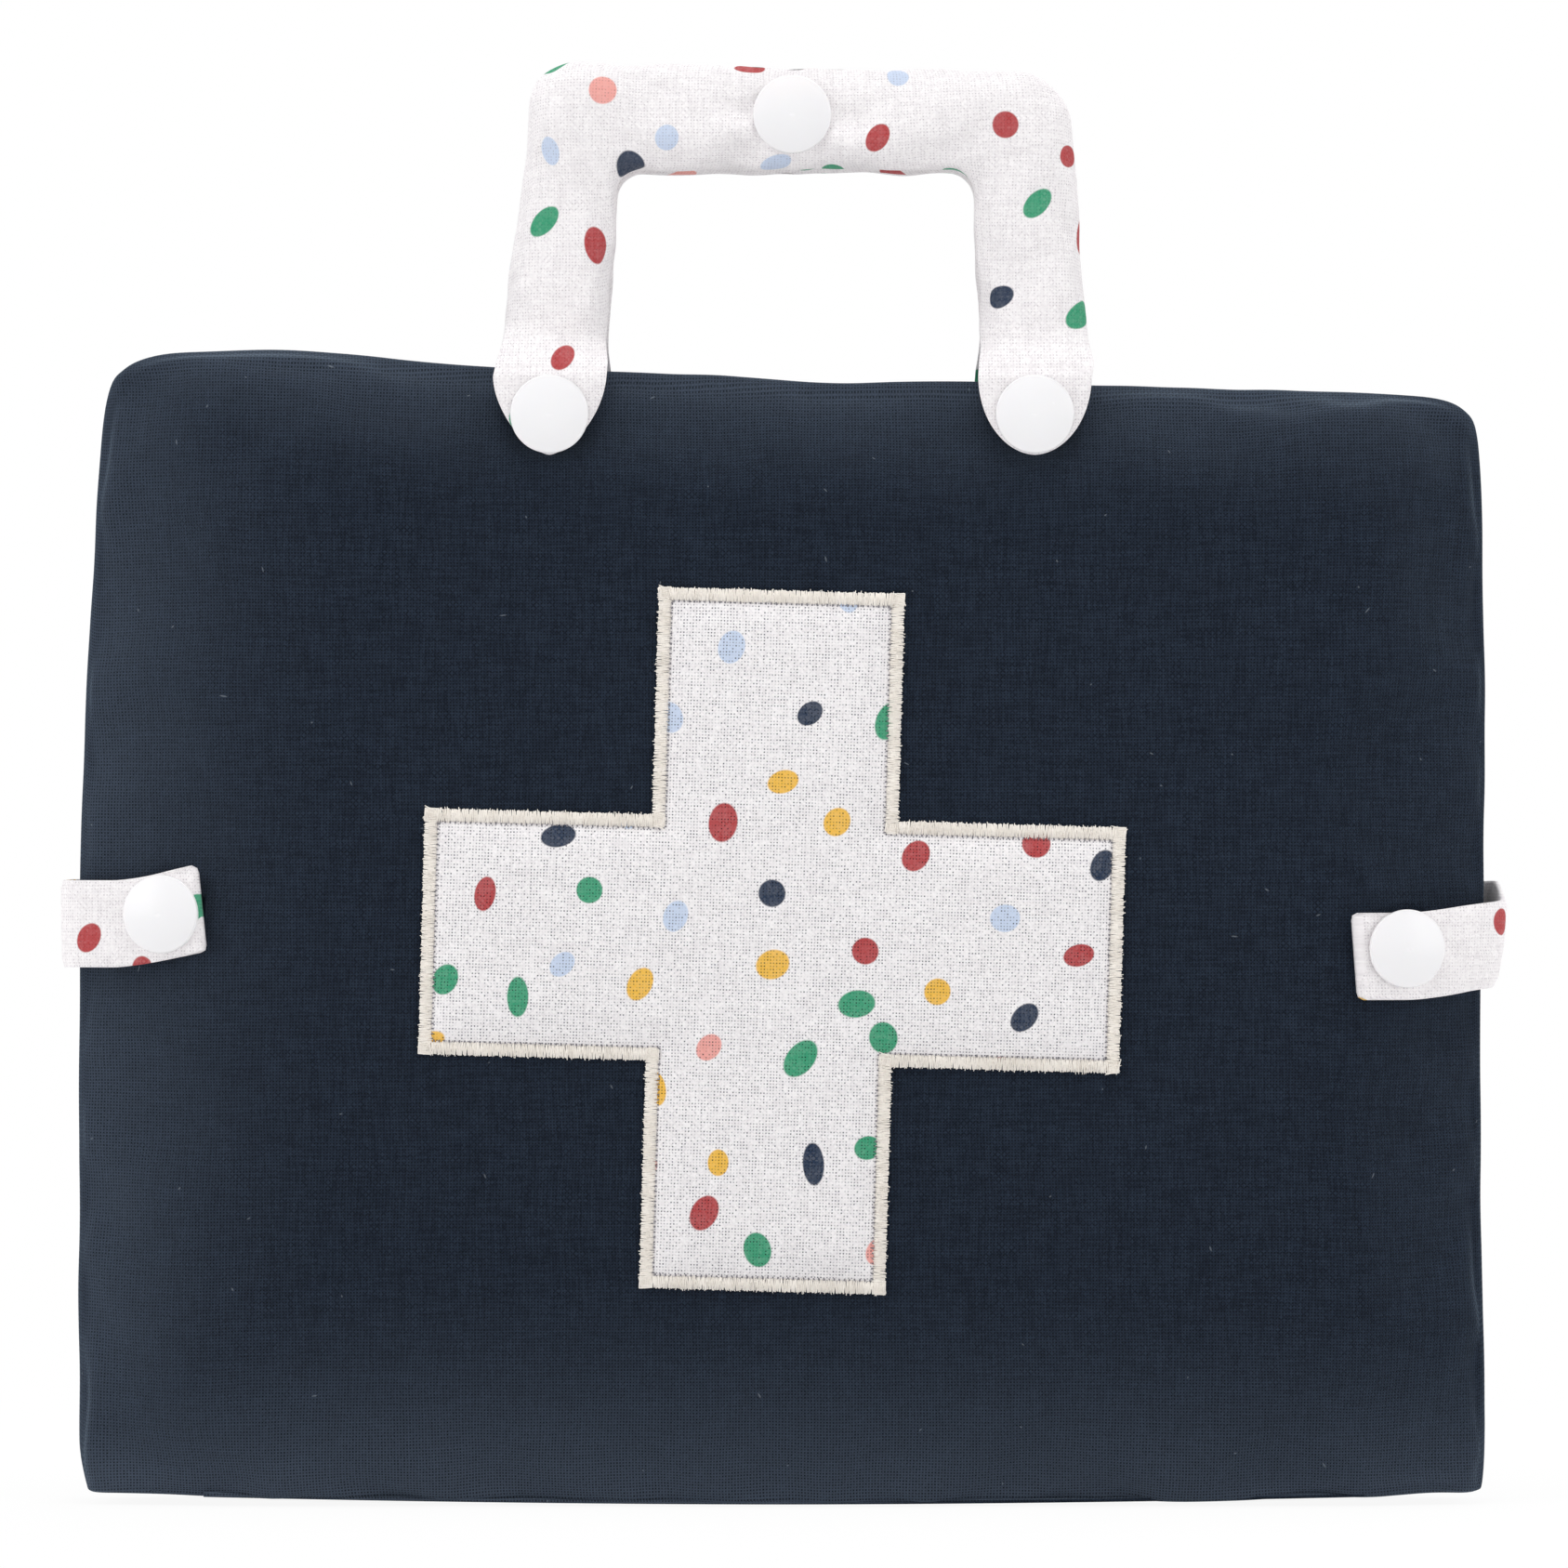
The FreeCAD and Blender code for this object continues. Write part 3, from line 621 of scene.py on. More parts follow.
def base_place(along, across, up):
    """Place on the base pad at shares of its length, depth and height: narrower at the top."""
    depth = (base_high.y - base_inset) * (1 - up) + (inner_face - base_gap) * up
    y = depth * (across * 2 - 1)
    x = base_reach(y) * (along * 2 - 1)
    low = base_lift + panel_bottom(x)
    crown = base_crown * math.sin(math.pi * across) * ease(0, base_crown_start, min(along, 1 - along))
    return x, y, low + (base_high.z - lining_room - low) * up + crown * up


def fold_seam(name, facing):
    """Strip of the outer cloth under the groove between the base and a panel's lower edge."""
    def place(along, through, depth):
        x = fold_seam_half * (along * 2 - 1)
        y = fold_seam_start + (fold_seam_end - fold_seam_start) * through
        z = panel_bottom(x) + fold_seam_lift - fold_seam_fall * through + fold_seam_thickness * depth
        return x, y * facing, z
    ways = [even_steps(30), [0.0, 0.2, 0.4, 0.6, 0.8, 1.0], [0.0, 1.0]]
    if facing < 0:
        ways[0] = ways[0][::-1]
    return grid_block(name, ways, place)


base = grid_block("base_pad", [even_steps(30), even_steps(8), even_steps(4)], base_place)
subdivide(base, 1)
base.data.materials.append(navy)
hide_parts("base_cover", "base_wadding")
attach(base, "base")

for side, facing in facings.items():
    strip = fold_seam(side + "_fold_seam", facing)
    strip.data.materials.append(navy)
    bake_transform(strip)


# Linings: plain natural cotton, laid over the wadding inside each panel and along the base
# and topstitched near its edge in thread of the same colour.

lining_low, lining_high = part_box("front_lining")
lining_half_width = lining_high.x
lining_thickness = 0.8 * mm
lining_top_margin = 4.2 * mm
lining_corner = 6 * mm
lining_left_lean = left_lean * 0.9
lining_right_lean = 1.0 * mm
lining_swell = 0.7 * mm
lining_swell_margin = (2 * mm, 22 * mm)
lining_ripple_size, lining_ripple_height = 30 * mm, 0.5 * mm
lining_ripple_margin = (1 * mm, 10 * mm)
hem_inset = 3 * mm
hem_lift = 0.15 * mm
hem_corner = 5 * mm
hem_right_lean = 0.8 * mm


def natural_cotton():
    """Unbleached plain-weave cotton, 0.45 mm between threads, warm grey-white with darker flecks."""
    material, tree = new_material("natural_cotton")
    height, gap, tone = weave(tree, pitch=0.45 * mm, wander=0.4, hole_edge=0.3,
                              open_least=0.25, open_most=1.0)
    thread = add_node(tree, "ShaderNodeValToRGB", {0: tone})
    for stop, spot, code in zip(thread.color_ramp.elements, (0.3, 0.7), ("#DDD8CF", "#EDE9E2")):
        stop.position = spot
        stop.color = linear(code)
    seen = add_node(tree, "ShaderNodeMix",
                    {0: gap, 6: thread.outputs[0], 7: linear("#B9B2A6")}, data_type="RGBA")
    surface = cloth_surface(tree, seen.outputs[2], height, depth=0.1 * mm, roughness=0.9, sheen=0.1)
    add_node(tree, "ShaderNodeOutputMaterial", {0: surface.outputs[0]})
    return material


def spun_thread(name, code):
    """Mercerised sewing thread: twisted fibres with a silky shine, mottled every 0.3 mm by the twist."""
    material, tree = new_material(name)
    twist = 0.3 * mm
    darker = 0.88
    place = add_node(tree, "ShaderNodeTexCoord").outputs["Object"]
    mottle = add_node(tree, "ShaderNodeTexNoise", {"Vector": place, "Scale": 1 / twist, "Detail": 1.0})
    light = linear(code)
    shade = [share * darker for share in light[:3]] + [1.0]
    colour = add_node(tree, "ShaderNodeMix",
                      {0: mottle.outputs["Fac"], 6: shade, 7: light}, data_type="RGBA")
    surface = add_node(tree, "ShaderNodeBsdfPrincipled", {
        "Base Color": colour.outputs[2], "Roughness": 0.45, "Sheen Weight": 0.3})
    add_node(tree, "ShaderNodeOutputMaterial", {0: surface.outputs[0]})
    return material


def stitch_tree():
    """Geometry Nodes: arched stitches at a pitch along curves, across them or in line with them."""
    tree = bpy.data.node_groups.new("stitches", "GeometryNodeTree")
    tree.interface.new_socket("Geometry", in_out="INPUT", socket_type="NodeSocketGeometry")
    for name, kind in (("Pitch", "Float"), ("Length", "Float"), ("Thickness", "Float"),
                       ("Rise", "Float"), ("Turn", "Float"), ("Facing", "Vector"),
                       ("Unevenness", "Float"), ("Seed", "Int"), ("Thread", "Material")):
        tree.interface.new_socket(name, in_out="INPUT", socket_type="NodeSocket" + kind)
    tree.interface.new_socket("Geometry", in_out="OUTPUT", socket_type="NodeSocketGeometry")
    given = add_node(tree, "NodeGroupInput").outputs
    spots = add_node(tree, "GeometryNodeCurveToPoints",
                     {"Curve": given["Geometry"], "Length": given["Pitch"]}, mode="LENGTH").outputs
    half = add_node(tree, "ShaderNodeMath", {0: given["Length"], 1: 0.5}, operation="MULTIPLY")
    back = add_node(tree, "ShaderNodeMath", {0: given["Length"], 1: -0.5}, operation="MULTIPLY")
    crown = add_node(tree, "ShaderNodeMath", {0: given["Rise"], 1: 2.0}, operation="MULTIPLY")
    ends = [add_node(tree, "ShaderNodeCombineXYZ", {0: reach.outputs[0]}) for reach in (back, half)]
    middle = add_node(tree, "ShaderNodeCombineXYZ", {2: crown.outputs[0]})
    arch = add_node(tree, "GeometryNodeCurveQuadraticBezier", {
        "Resolution": 5, "Start": ends[0].outputs[0], "Middle": middle.outputs[0],
        "End": ends[1].outputs[0]})
    ring = add_node(tree, "GeometryNodeCurvePrimitiveCircle",
                    {"Resolution": 6, "Radius": given["Thickness"]}, mode="RADIUS")
    stitch = add_node(tree, "GeometryNodeCurveToMesh", {
        "Curve": arch.outputs[0], "Profile Curve": ring.outputs[0], "Fill Caps": True})
    along = add_node(tree, "FunctionNodeAlignRotationToVector", {"Vector": spots["Tangent"]}, axis="Y")
    upright = add_node(tree, "FunctionNodeAlignRotationToVector", {
        "Rotation": along.outputs[0], "Vector": given["Facing"]}, axis="Z", pivot_axis="Y")
    low = add_node(tree, "ShaderNodeMath", {0: given["Unevenness"], 1: -1.0}, operation="MULTIPLY")
    lean = add_node(tree, "FunctionNodeRandomValue",
                    {2: low.outputs[0], 3: given["Unevenness"], 8: given["Seed"]}, data_type="FLOAT")
    angle = add_node(tree, "ShaderNodeMath", {0: lean.outputs[1], 1: given["Turn"]})
    twist = add_node(tree, "FunctionNodeAxisAngleToRotation",
                     {"Axis": (0, 0, 1), "Angle": angle.outputs[0]})
    turned = add_node(tree, "FunctionNodeRotateRotation", {
        "Rotation": upright.outputs[0], "Rotate By": twist.outputs[0]}, rotation_space="LOCAL")
    short = add_node(tree, "ShaderNodeMath", {0: 1.0, 1: given["Unevenness"]}, operation="SUBTRACT")
    long = add_node(tree, "ShaderNodeMath", {0: 1.0, 1: given["Unevenness"]}, operation="ADD")
    later = add_node(tree, "ShaderNodeMath", {0: given["Seed"], 1: 1.0}, operation="ADD")
    stretch = add_node(tree, "FunctionNodeRandomValue",
                       {2: short.outputs[0], 3: long.outputs[0], 8: later.outputs[0]}, data_type="FLOAT")
    size = add_node(tree, "ShaderNodeCombineXYZ", {0: stretch.outputs[1], 1: 1.0, 2: stretch.outputs[1]})
    placed = add_node(tree, "GeometryNodeInstanceOnPoints", {
        "Points": spots["Points"], "Instance": stitch.outputs[0],
        "Rotation": turned.outputs[0], "Scale": size.outputs[0]})
    plain = add_node(tree, "GeometryNodeRealizeInstances", {0: placed.outputs[0]})
    smooth = add_node(tree, "GeometryNodeSetShadeSmooth", {0: plain.outputs[0]})
    dyed = add_node(tree, "GeometryNodeSetMaterial", {0: smooth.outputs[0], "Material": given["Thread"]})
    add_node(tree, "NodeGroupOutput", {0: dyed.outputs[0]})
    return tree


stitches = stitch_tree()


def sew(name, runs, thread, facing, pitch, length, thickness, rise, turn=0.0, unevenness=0.05, seed=1):
    """Stitches along open runs of points, made a plain mesh."""
    line = bpy.data.curves.new(name + "_line", "CURVE")
    line.dimensions = "3D"
    for run in runs:
        spline = line.splines.new("POLY")
        spline.points.add(len(run) - 1)
        for spot, place in zip(spline.points, run):
            spot.co = (*place, 1.0)
    guide = bpy.data.objects.new(name + "_line", line)
    scene.collection.objects.link(guide)
    maker = guide.modifiers.new("stitches", "NODES")
    maker.node_group = stitches
    values = {"Pitch": pitch, "Length": length, "Thickness": thickness, "Rise": rise, "Turn": turn,
              "Facing": facing, "Unevenness": unevenness, "Seed": seed, "Thread": thread}
    for socket in stitches.interface.items_tree:
        if socket.in_out == "INPUT" and socket.name in values:
            maker[socket.identifier] = values[socket.name]
    graph = bpy.context.evaluated_depsgraph_get()
    mesh = bpy.data.meshes.new_from_object(guide.evaluated_get(graph))
    bpy.data.objects.remove(guide)
    piece = bpy.data.objects.new(name, mesh)
    scene.collection.objects.link(piece)
    return piece


def lining_piece(name, facing):
    """Lining of a panel: it lies flat at the sewn edge and swells a little over the wadding."""
    def place(across, depth, up):
        x = lining_half_width * (across * 2 - 1)
        top = panel_top(x) - lining_top_margin
        z = lining_low.z + (top - lining_low.z) * up
        corner_x = math.copysign(lining_half_width - lining_corner, x)
        corner_z = top - lining_corner
        if z > corner_z:
            x, z = rounded_corner(x, z, corner_x, corner_z, lining_corner)
        lean = lining_left_lean if x < 0 else lining_right_lean
        x -= lean * x / lining_half_width * ease(left_lean_start, bag_height, z)
        edge = min(lining_half_width - abs(x), top - z, z - lining_low.z)
        ripple = noise.noise(Vector((x, z, 7.0 * facing)) / lining_ripple_size) * lining_ripple_height
        swell = lining_swell * ease(*lining_swell_margin, edge)
        swell += ripple * ease(*lining_ripple_margin, edge)
        y = inner_face + lining_thickness * (1 - depth) - swell * depth
        return x, y * facing, z
    ways = [even_steps(48), [0.0, 1.0], even_steps(38)]
    if facing > 0:
        ways[0] = ways[0][::-1]
    return grid_block(name, ways, place)


def hem_top(x):
    """Height of a lining's topstitch line along the top."""
    return panel_top(x) - lining_top_margin - hem_inset


def lining_hem(facing):
    """Topstitch line of a lining, a little inside its edge."""
    half = lining_half_width - hem_inset
    low = lining_low.z + hem_inset
    depth = facing * (inner_face - hem_lift)
    left = -half + lining_left_lean
    run = [(-half, low), (half, low), (half - hem_right_lean, hem_top(half) - hem_corner),
           (half - hem_corner, hem_top(half))]
    run += [(x * mm, hem_top(x * mm)) for x in range(90, -91, -20)]
    run += [(left + hem_corner, hem_top(-half)), (left, hem_top(-half) - hem_corner),
            (-half, left_lean_start), (-half, low)]
    return [(x, depth, z) for x, z in run]


lining = natural_cotton()
lining_thread = spun_thread("natural_thread", "#E6E0D4")
linings = {}
for side, facing in facings.items():
    sheet = lining_piece(side + "_lining_cloth", facing)
    sheet.data.materials.append(lining)
    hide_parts(side + "_lining")
    hem = sew(side + "_lining_stitches", [lining_hem(facing)], lining_thread, (0, -facing, 0),
              pitch=3.2 * mm, length=2.3 * mm, thickness=0.16 * mm, rise=0.2 * mm, turn=math.pi / 2)
    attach(sheet, side + "_panel")
    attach(hem, side + "_panel")
    linings[side] = sheet

tape_low, tape_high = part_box("base_lining")
tape_sink = 0.4 * mm
tape_crown = 0.5 * mm


def tape_place(along, across, up):
    """Place on the base lining at shares of its length, width and thickness."""
    x = tape_high.x * (along * 2 - 1)
    y = tape_high.y * (across * 2 - 1)
    crown = tape_crown * math.sin(math.pi * across) * math.sin(math.pi * along) ** 0.5
    return x, y, tape_low.z - tape_sink + (lining_thickness + crown) * up


base_sheet = grid_block("base_lining_cloth", [even_steps(40), even_steps(6), [0.0, 1.0]], tape_place)
base_sheet.data.materials.append(lining)
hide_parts("base_lining")
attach(base_sheet, "base")


# Tool pocket: a folded piece of the printed cotton sewn to the back lining on three sides,
# with a doubled hem along its open top.

pocket_low, pocket_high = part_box("tool_pocket")
pocket_thickness = 0.7 * mm
pocket_lift = 0.1 * mm
pocket_mouth_sag = 1.6 * mm
pocket_belly = 0.9 * mm
pocket_belly_margin = 25 * mm
pocket_hem_thickness = 0.35 * mm
pocket_hem_line = (70 * mm, 70.6 * mm)


def printed_cotton(name, backing):
    """White plain-weave cotton printed with a scatter of coloured ovals and dots, about 14 mm apart.
    The ink soaks into the threads, and the backing shows through the weave's pin-holes."""
    material, tree = new_material(name)
    height, gap, tone = weave(tree, pitch=0.49 * mm, wander=0.45, hole_edge=0.3,
                              open_least=0.0, open_most=1.3)
    radius, chance = scattered(tree, spacing=13.5 * mm, randomness=0.6, wide=(0.12, 0.17),
                               long=(0.15, 0.25), angle=0.9)
    inside = add_node(tree, "ShaderNodeMapRange", {0: radius, 1: 1.05, 2: 0.95})
    soaked = add_node(tree, "ShaderNodeMapRange", {0: tone, 1: 0.3, 2: 0.7, 3: 1.0, 4: 0.92})
    inked = add_node(tree, "ShaderNodeMath",
                     {0: inside.outputs[0], 1: soaked.outputs[0]}, operation="MULTIPLY")
    blended = add_node(tree, "ShaderNodeMath",
                       {0: chance[0], 1: 5.3, 2: chance[1]}, operation="MULTIPLY_ADD")
    pick = add_node(tree, "ShaderNodeMath", {0: blended.outputs[0]}, operation="FRACT")
    inks = add_node(tree, "ShaderNodeValToRGB", {0: pick.outputs[0]})
    ramp = inks.color_ramp
    ramp.interpolation = "CONSTANT"
    palette = ["#3E9E77", "#F2BE4E", "#B5484A", "#F0A8A0", "#CBD8EE", "#3E9E77", "#2C3A50"]
    while len(ramp.elements) < len(palette):
        ramp.elements.new(1.0)
    for i, code in enumerate(palette):
        ramp.elements[i].position = i / len(palette)
        ramp.elements[i].color = linear(code)
    thread = add_node(tree, "ShaderNodeValToRGB", {0: tone})
    for stop, spot, code in zip(thread.color_ramp.elements, (0.3, 0.65), ("#EDE9EB", "#FBF8F9")):
        stop.position = spot
        stop.color = linear(code)
    printed = add_node(tree, "ShaderNodeMix",
                       {0: inked.outputs[0], 6: thread.outputs[0], 7: inks.outputs[0]}, data_type="RGBA")
    hole_share = add_node(tree, "ShaderNodeMath", {0: gap, 1: 0.8, 2: 0.03}, operation="MULTIPLY_ADD")
    seen = add_node(tree, "ShaderNodeMix",
                    {0: hole_share.outputs[0], 6: printed.outputs[2], 7: linear(backing)},
                    data_type="RGBA", blend_type="MULTIPLY")
    surface = cloth_surface(tree, seen.outputs[2], height, depth=0.1 * mm, roughness=0.88, sheen=0.08)
    add_node(tree, "ShaderNodeOutputMaterial", {0: surface.outputs[0]})
    return material


print_cloth = printed_cotton("printed_cotton", "#D4D0D4")
lining_surface = BVHTree.FromObject(linings["back"], bpy.context.evaluated_depsgraph_get())


def lining_depth(x, z):
    """Depth of the back lining's face at a front-view place."""
    hit = lining_surface.ray_cast(Vector((x, -20 * mm, z)), Vector((0, 1, 0)))[0]
    return hit.y if hit else inner_face


def pocket_place(across, depth, up):
    """Place on the pocket at shares of its width, thickness and height; its mouth sags a little."""
    x = pocket_low.x + (pocket_high.x - pocket_low.x) * across
    z = pocket_low.z + (pocket_high.z - pocket_low.z) * up
    z -= pocket_mouth_sag * up ** 4 * math.sin(math.pi * across)
    edge = min(x - pocket_low.x, pocket_high.x - x, z - pocket_low.z)
    belly = pocket_belly * ease(0, pocket_belly_margin, edge) * up
    hem = pocket_hem_thickness * ease(*pocket_hem_line, z - pocket_low.z)
    y = lining_depth(x, z) - pocket_lift - (pocket_thickness + hem) * (1 - depth) - belly
    return x, y, z


pocket = grid_block("pocket_cloth", [even_steps(40), [0.0, 1.0], even_steps(44)], pocket_place)
pocket.data.materials.append(print_cloth)
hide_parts("tool_pocket")
seam_shares = [(0.025, 0.97), (0.025, 0.5), (0.03, 0.03)]
seam_shares += [(0.1 + 0.1 * i, 0.03) for i in range(9)]
seam_shares += [(0.97, 0.03), (0.975, 0.5), (0.975, 0.97)]
hem_shares = [(0.05 * i, 0.885) for i in range(21)]
pocket_run, hem_run = ([pocket_place(across, 0, up) for across, up in shares]
                       for shares in (seam_shares, hem_shares))
pocket_seam = sew("pocket_stitches", [pocket_run, hem_run], lining_thread, (0, -1, 0),
                  pitch=3.0 * mm, length=2.2 * mm, thickness=0.16 * mm, rise=0.18 * mm, turn=math.pi / 2)
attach(pocket, "back_panel")
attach(pocket_seam, "back_panel")


# Cross: a patch of the printed cotton with raw edges, laid on the front panel over a thin
# wadding and sewn down all round with a close satin stitch in ivory thread. The real threads lie
# too close to show, so they are drawn coarser, with a second layer of loose ones for their fuzz.

cross_middle = node_middle("cross_border")
cross_span = 111.0 * mm
cross_arm = 39.0 * mm
border_width = 2.1 * mm
border_step = 2 * mm
patch_inset = border_width * 0.45
patch_flat_edge = border_width * 0.4
patch_rise = 2.0 * mm
patch_rise_width = 2.2 * mm
patch_lift = 0.3 * mm
patch_thickness = 0.4 * mm
patch_ripple_size, patch_ripple_height = 13 * mm, 0.28 * mm
patch_ripple_margin = 5 * mm
patch_edge_lines = (0.7 * mm, 1.4 * mm)
panel_surface = BVHTree.FromObject(panels["front"], bpy.context.evaluated_depsgraph_get())


def panel_depth(x, z):
    """Depth of the front panel's face at a front-view place."""
    hit = panel_surface.ray_cast(Vector((x, -50 * mm, z)), Vector((0, 1, 0)))[0]
    return hit.y if hit else -outer_face


def on_cross(u, v):
    """Front-view place of a point given along the cross's own two ways."""
    x = cross_middle.x + u * math.cos(sewn_skew) + v * math.sin(sewn_skew)
    z = cross_middle.z - u * math.sin(sewn_skew) + v * math.cos(sewn_skew)
    return x, z


def cross_edge(u, v, inset):
    """Distance of a point inside the cross from its outline, which is moved in by inset."""
    span = cross_span / 2 - inset
    arm = cross_arm / 2 - inset
    return max(min(span - abs(u), arm - abs(v)), min(arm - abs(u), span - abs(v)))


def patch_piece():
    """Patch on a grid that follows the cross; it rises from under the stitches onto its wadding."""
    span = cross_span / 2 - patch_inset
    arm = cross_arm / 2 - patch_inset
    reach = arm + 1e-6
    outer = [arm + (span - arm) * i / 18 for i in range(1, 19)]
    lines = [-place for place in outer] + [arm * (i / 9 - 1) for i in range(19)] + outer
    for edge in (arm, span):
        for close in patch_edge_lines:
            lines += [close - edge, edge - close]
    lines.sort()
    index = {}
    points = []
    spots = []
    for i, u in enumerate(lines):
        for j, v in enumerate(lines):
            if abs(u) <= reach or abs(v) <= reach:
                index[i, j] = len(points)
                x, z = on_cross(u, v)
                edge = max(0.0, cross_edge(u, v, patch_inset + patch_flat_edge))
                ripple = noise.noise(Vector((u, v, 5.0)) / patch_ripple_size) * patch_ripple_height
                rise = patch_rise * (1 - math.exp(-edge / patch_rise_width))
                rise += ripple * ease(0, patch_ripple_margin, edge)
                points.append((x, panel_depth(x, z) - patch_lift - rise, z))
                spots.append((u, v))
    faces = []
    for i, j in index:
        ring = [(i, j), (i + 1, j), (i + 1, j + 1), (i, j + 1)]
        if all(key in index for key in ring):
            faces.append([index[key] for key in ring])
    places = [[spots[q] for q in face] for face in faces]
    piece = make_piece("cross_patch_cloth", points, faces, places)
    thick = piece.modifiers.new("cloth", "SOLIDIFY")
    thick.thickness = patch_thickness
    thick.offset = -1.0
    subdivide(piece, 1)
    return piece


def cross_runs(inset, overlap, lift):
    """The twelve sides of the cross, each an open run of points on the panel."""
    span = cross_span / 2 - inset
    arm = cross_arm / 2 - inset
    corners = [(-arm, span), (arm, span), (arm, arm), (span, arm), (span, -arm), (arm, -arm),
               (arm, -span), (-arm, -span), (-arm, -arm), (-span, -arm), (-span, arm), (-arm, arm)]
    runs = []
    for k, start in enumerate(corners):
        start = Vector(start)
        end = Vector(corners[(k + 1) % len(corners)])
        way = (end - start).normalized() * overlap
        count = max(2, round((end - start).length / border_step))
        run = []
        for i in range(count + 1):
            u, v = (start - way).lerp(end + way, i / count)
            x, z = on_cross(u, v)
            run.append((x, panel_depth(x, z) - lift, z))
        runs.append(run)
    return runs


patch = patch_piece()
patch.data.materials.append(printed_cotton("printed_cotton_over_navy", "#3F4654"))
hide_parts("cross_patch")
satin = spun_thread("ivory_satin_thread", "#FFF9F1")
hole_shade = spun_thread("needle_hole_shade", "#77757C")
border_line = {"inset": border_width / 2, "overlap": patch_inset}
hole_line = {"inset": border_width + 0.1 * mm, "overlap": -0.3 * mm}
border = sew("cross_satin_stitch", cross_runs(lift=0.55 * mm, **border_line), satin, (0, -1, 0),
             pitch=0.25 * mm, length=1.9 * mm, thickness=0.125 * mm, rise=0.42 * mm,
             unevenness=0.1, seed=4)
fuzz = sew("cross_satin_fuzz", cross_runs(lift=0.6 * mm, **border_line), satin, (0, -1, 0),
           pitch=0.3 * mm, length=1.85 * mm, thickness=0.065 * mm, rise=0.52 * mm,
           unevenness=0.42, seed=21)
# The needle holes are short dark marks: painted shade in the holes, where the navy under the patch also
# shows through.
holes = sew("cross_needle_holes", cross_runs(lift=0.72 * mm, **hole_line), hole_shade, (0, -1, 0),
            pitch=0.8 * mm, length=0.3 * mm, thickness=0.12 * mm, rise=0.02 * mm,
            unevenness=0.3, seed=9)
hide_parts("cross_border")
for piece in (patch, border, fuzz, holes):
    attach(piece, "front_panel")


# Snaps: moulded white resin, glossy, with a slightly domed cap. The post of each cap is pressed
# through the cloth into a socket or stud on the other side. They keep the shapes of the frame.

def glossy_resin():
    """Injection-moulded acetal: smooth and glossy, with a faint ripple every 5 mm, scuffs of 1.5 mm
    and a soft inner glow."""
    material, tree = new_material("white_snap_resin")
    ripple_size, ripple_height = 5 * mm, 0.1 * mm
    scuff_size = 1.5 * mm
    place = add_node(tree, "ShaderNodeTexCoord").outputs["Object"]
    ripple = add_node(tree, "ShaderNodeTexNoise",
                      {"Vector": place, "Scale": 1 / ripple_size, "Detail": 1.0})
    bump = add_node(tree, "ShaderNodeBump", {
        "Height": ripple.outputs["Fac"], "Strength": 0.15, "Distance": ripple_height})
    scuff = add_node(tree, "ShaderNodeTexNoise",
                     {"Vector": place, "Scale": 1 / scuff_size, "Detail": 3.0})
    gloss = add_node(tree, "ShaderNodeMapRange", {0: scuff.outputs["Fac"], 3: 0.2, 4: 0.3})
    surface = add_node(tree, "ShaderNodeBsdfPrincipled", {
        "Base Color": linear("#F4F1F2"), "Roughness": gloss.outputs[0], "IOR": 1.48,
        "Normal": bump.outputs[0], "Subsurface Weight": 0.05})
    add_node(tree, "ShaderNodeOutputMaterial", {0: surface.outputs[0]})
    return material


resin = glossy_resin()
for name, node in frame["nodes"].items():
    if name.endswith(("_cap", "_socket", "_stud")):
        node.data.materials.clear()
        node.data.materials.append(resin)


# Handles: each is two U-shaped layers of the printed cotton, sewn along both edges and stuffed
# round. Its ends run out into flat tabs that are snapped to the panel, and a snap in the middle
# of the bar joins the two handles and pinches the filling.

handle_low, handle_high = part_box("front_handle_cover")
handle_front = -handle_low.y
handle_rear = -handle_high.y
handle_top = handle_high.z
foot_low, foot_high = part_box("front_left_foot")
foot_front = -foot_low.y
foot_rear = -foot_high.y
foot_end = foot_low.z
grip_top = 211.6 * mm
leg_bottom = 181.4 * mm
handle_corners = (8.0 * mm, 10.5 * mm)
grip_corners = (3.6 * mm, 3.6 * mm)
bar_slope = 1.4 * mm
tab_round = 12.2 * mm
tab_shape = {"left": (1.7, 0.66), "right": (2.0, 0.52)}

# Edges of the U at each side: where the leg meets its foot, and where it meets the bar.
handle_outer = {"left": (-45.6 * mm, -41.2 * mm), "right": (49.2 * mm, 46.6 * mm)}
handle_inner = {"left": (-27.8 * mm, -26.0 * mm), "right": (30.8 * mm, 29.8 * mm)}

# Stuffing: the tabs stay flat, the legs fill out above a crease, and the cloth creases over it.
handle_ring = 24
arc_steps, leg_steps, bar_steps = 8, 10, 18
handle_squareness = 2.5
handle_slack = 1.1 * mm
handle_swell = 1.3 * mm
handle_top_puff = 0.6 * mm
stuffed_depths = (1.5 * mm, 5.0 * mm)
leg_front_bend = (leg_bottom - 2.5 * mm, leg_bottom + 4.0 * mm)
leg_rear_bend = (leg_bottom - 1.2 * mm, leg_bottom + 5.0 * mm)
leg_crease = (0.9 * mm, leg_bottom - 1.2 * mm, 0.5 * mm)
tab_shares = (0.004, 0.05, 0.16, 0.34, 0.56, 0.8, 1.0)
ankle_shares = (0.3, 0.55, 0.8)
held_height = leg_bottom + 4 * mm
crease_start = (leg_bottom + 1 * mm, leg_bottom + 7 * mm)
broad_crease = (10 * mm, 0.45 * mm)
fine_crease = (4.5 * mm, 0.16 * mm)
print_shift = Vector((-3.6 * mm, 1.2 * mm))
rear_print_shift = print_shift + Vector((0.4, 0.1))

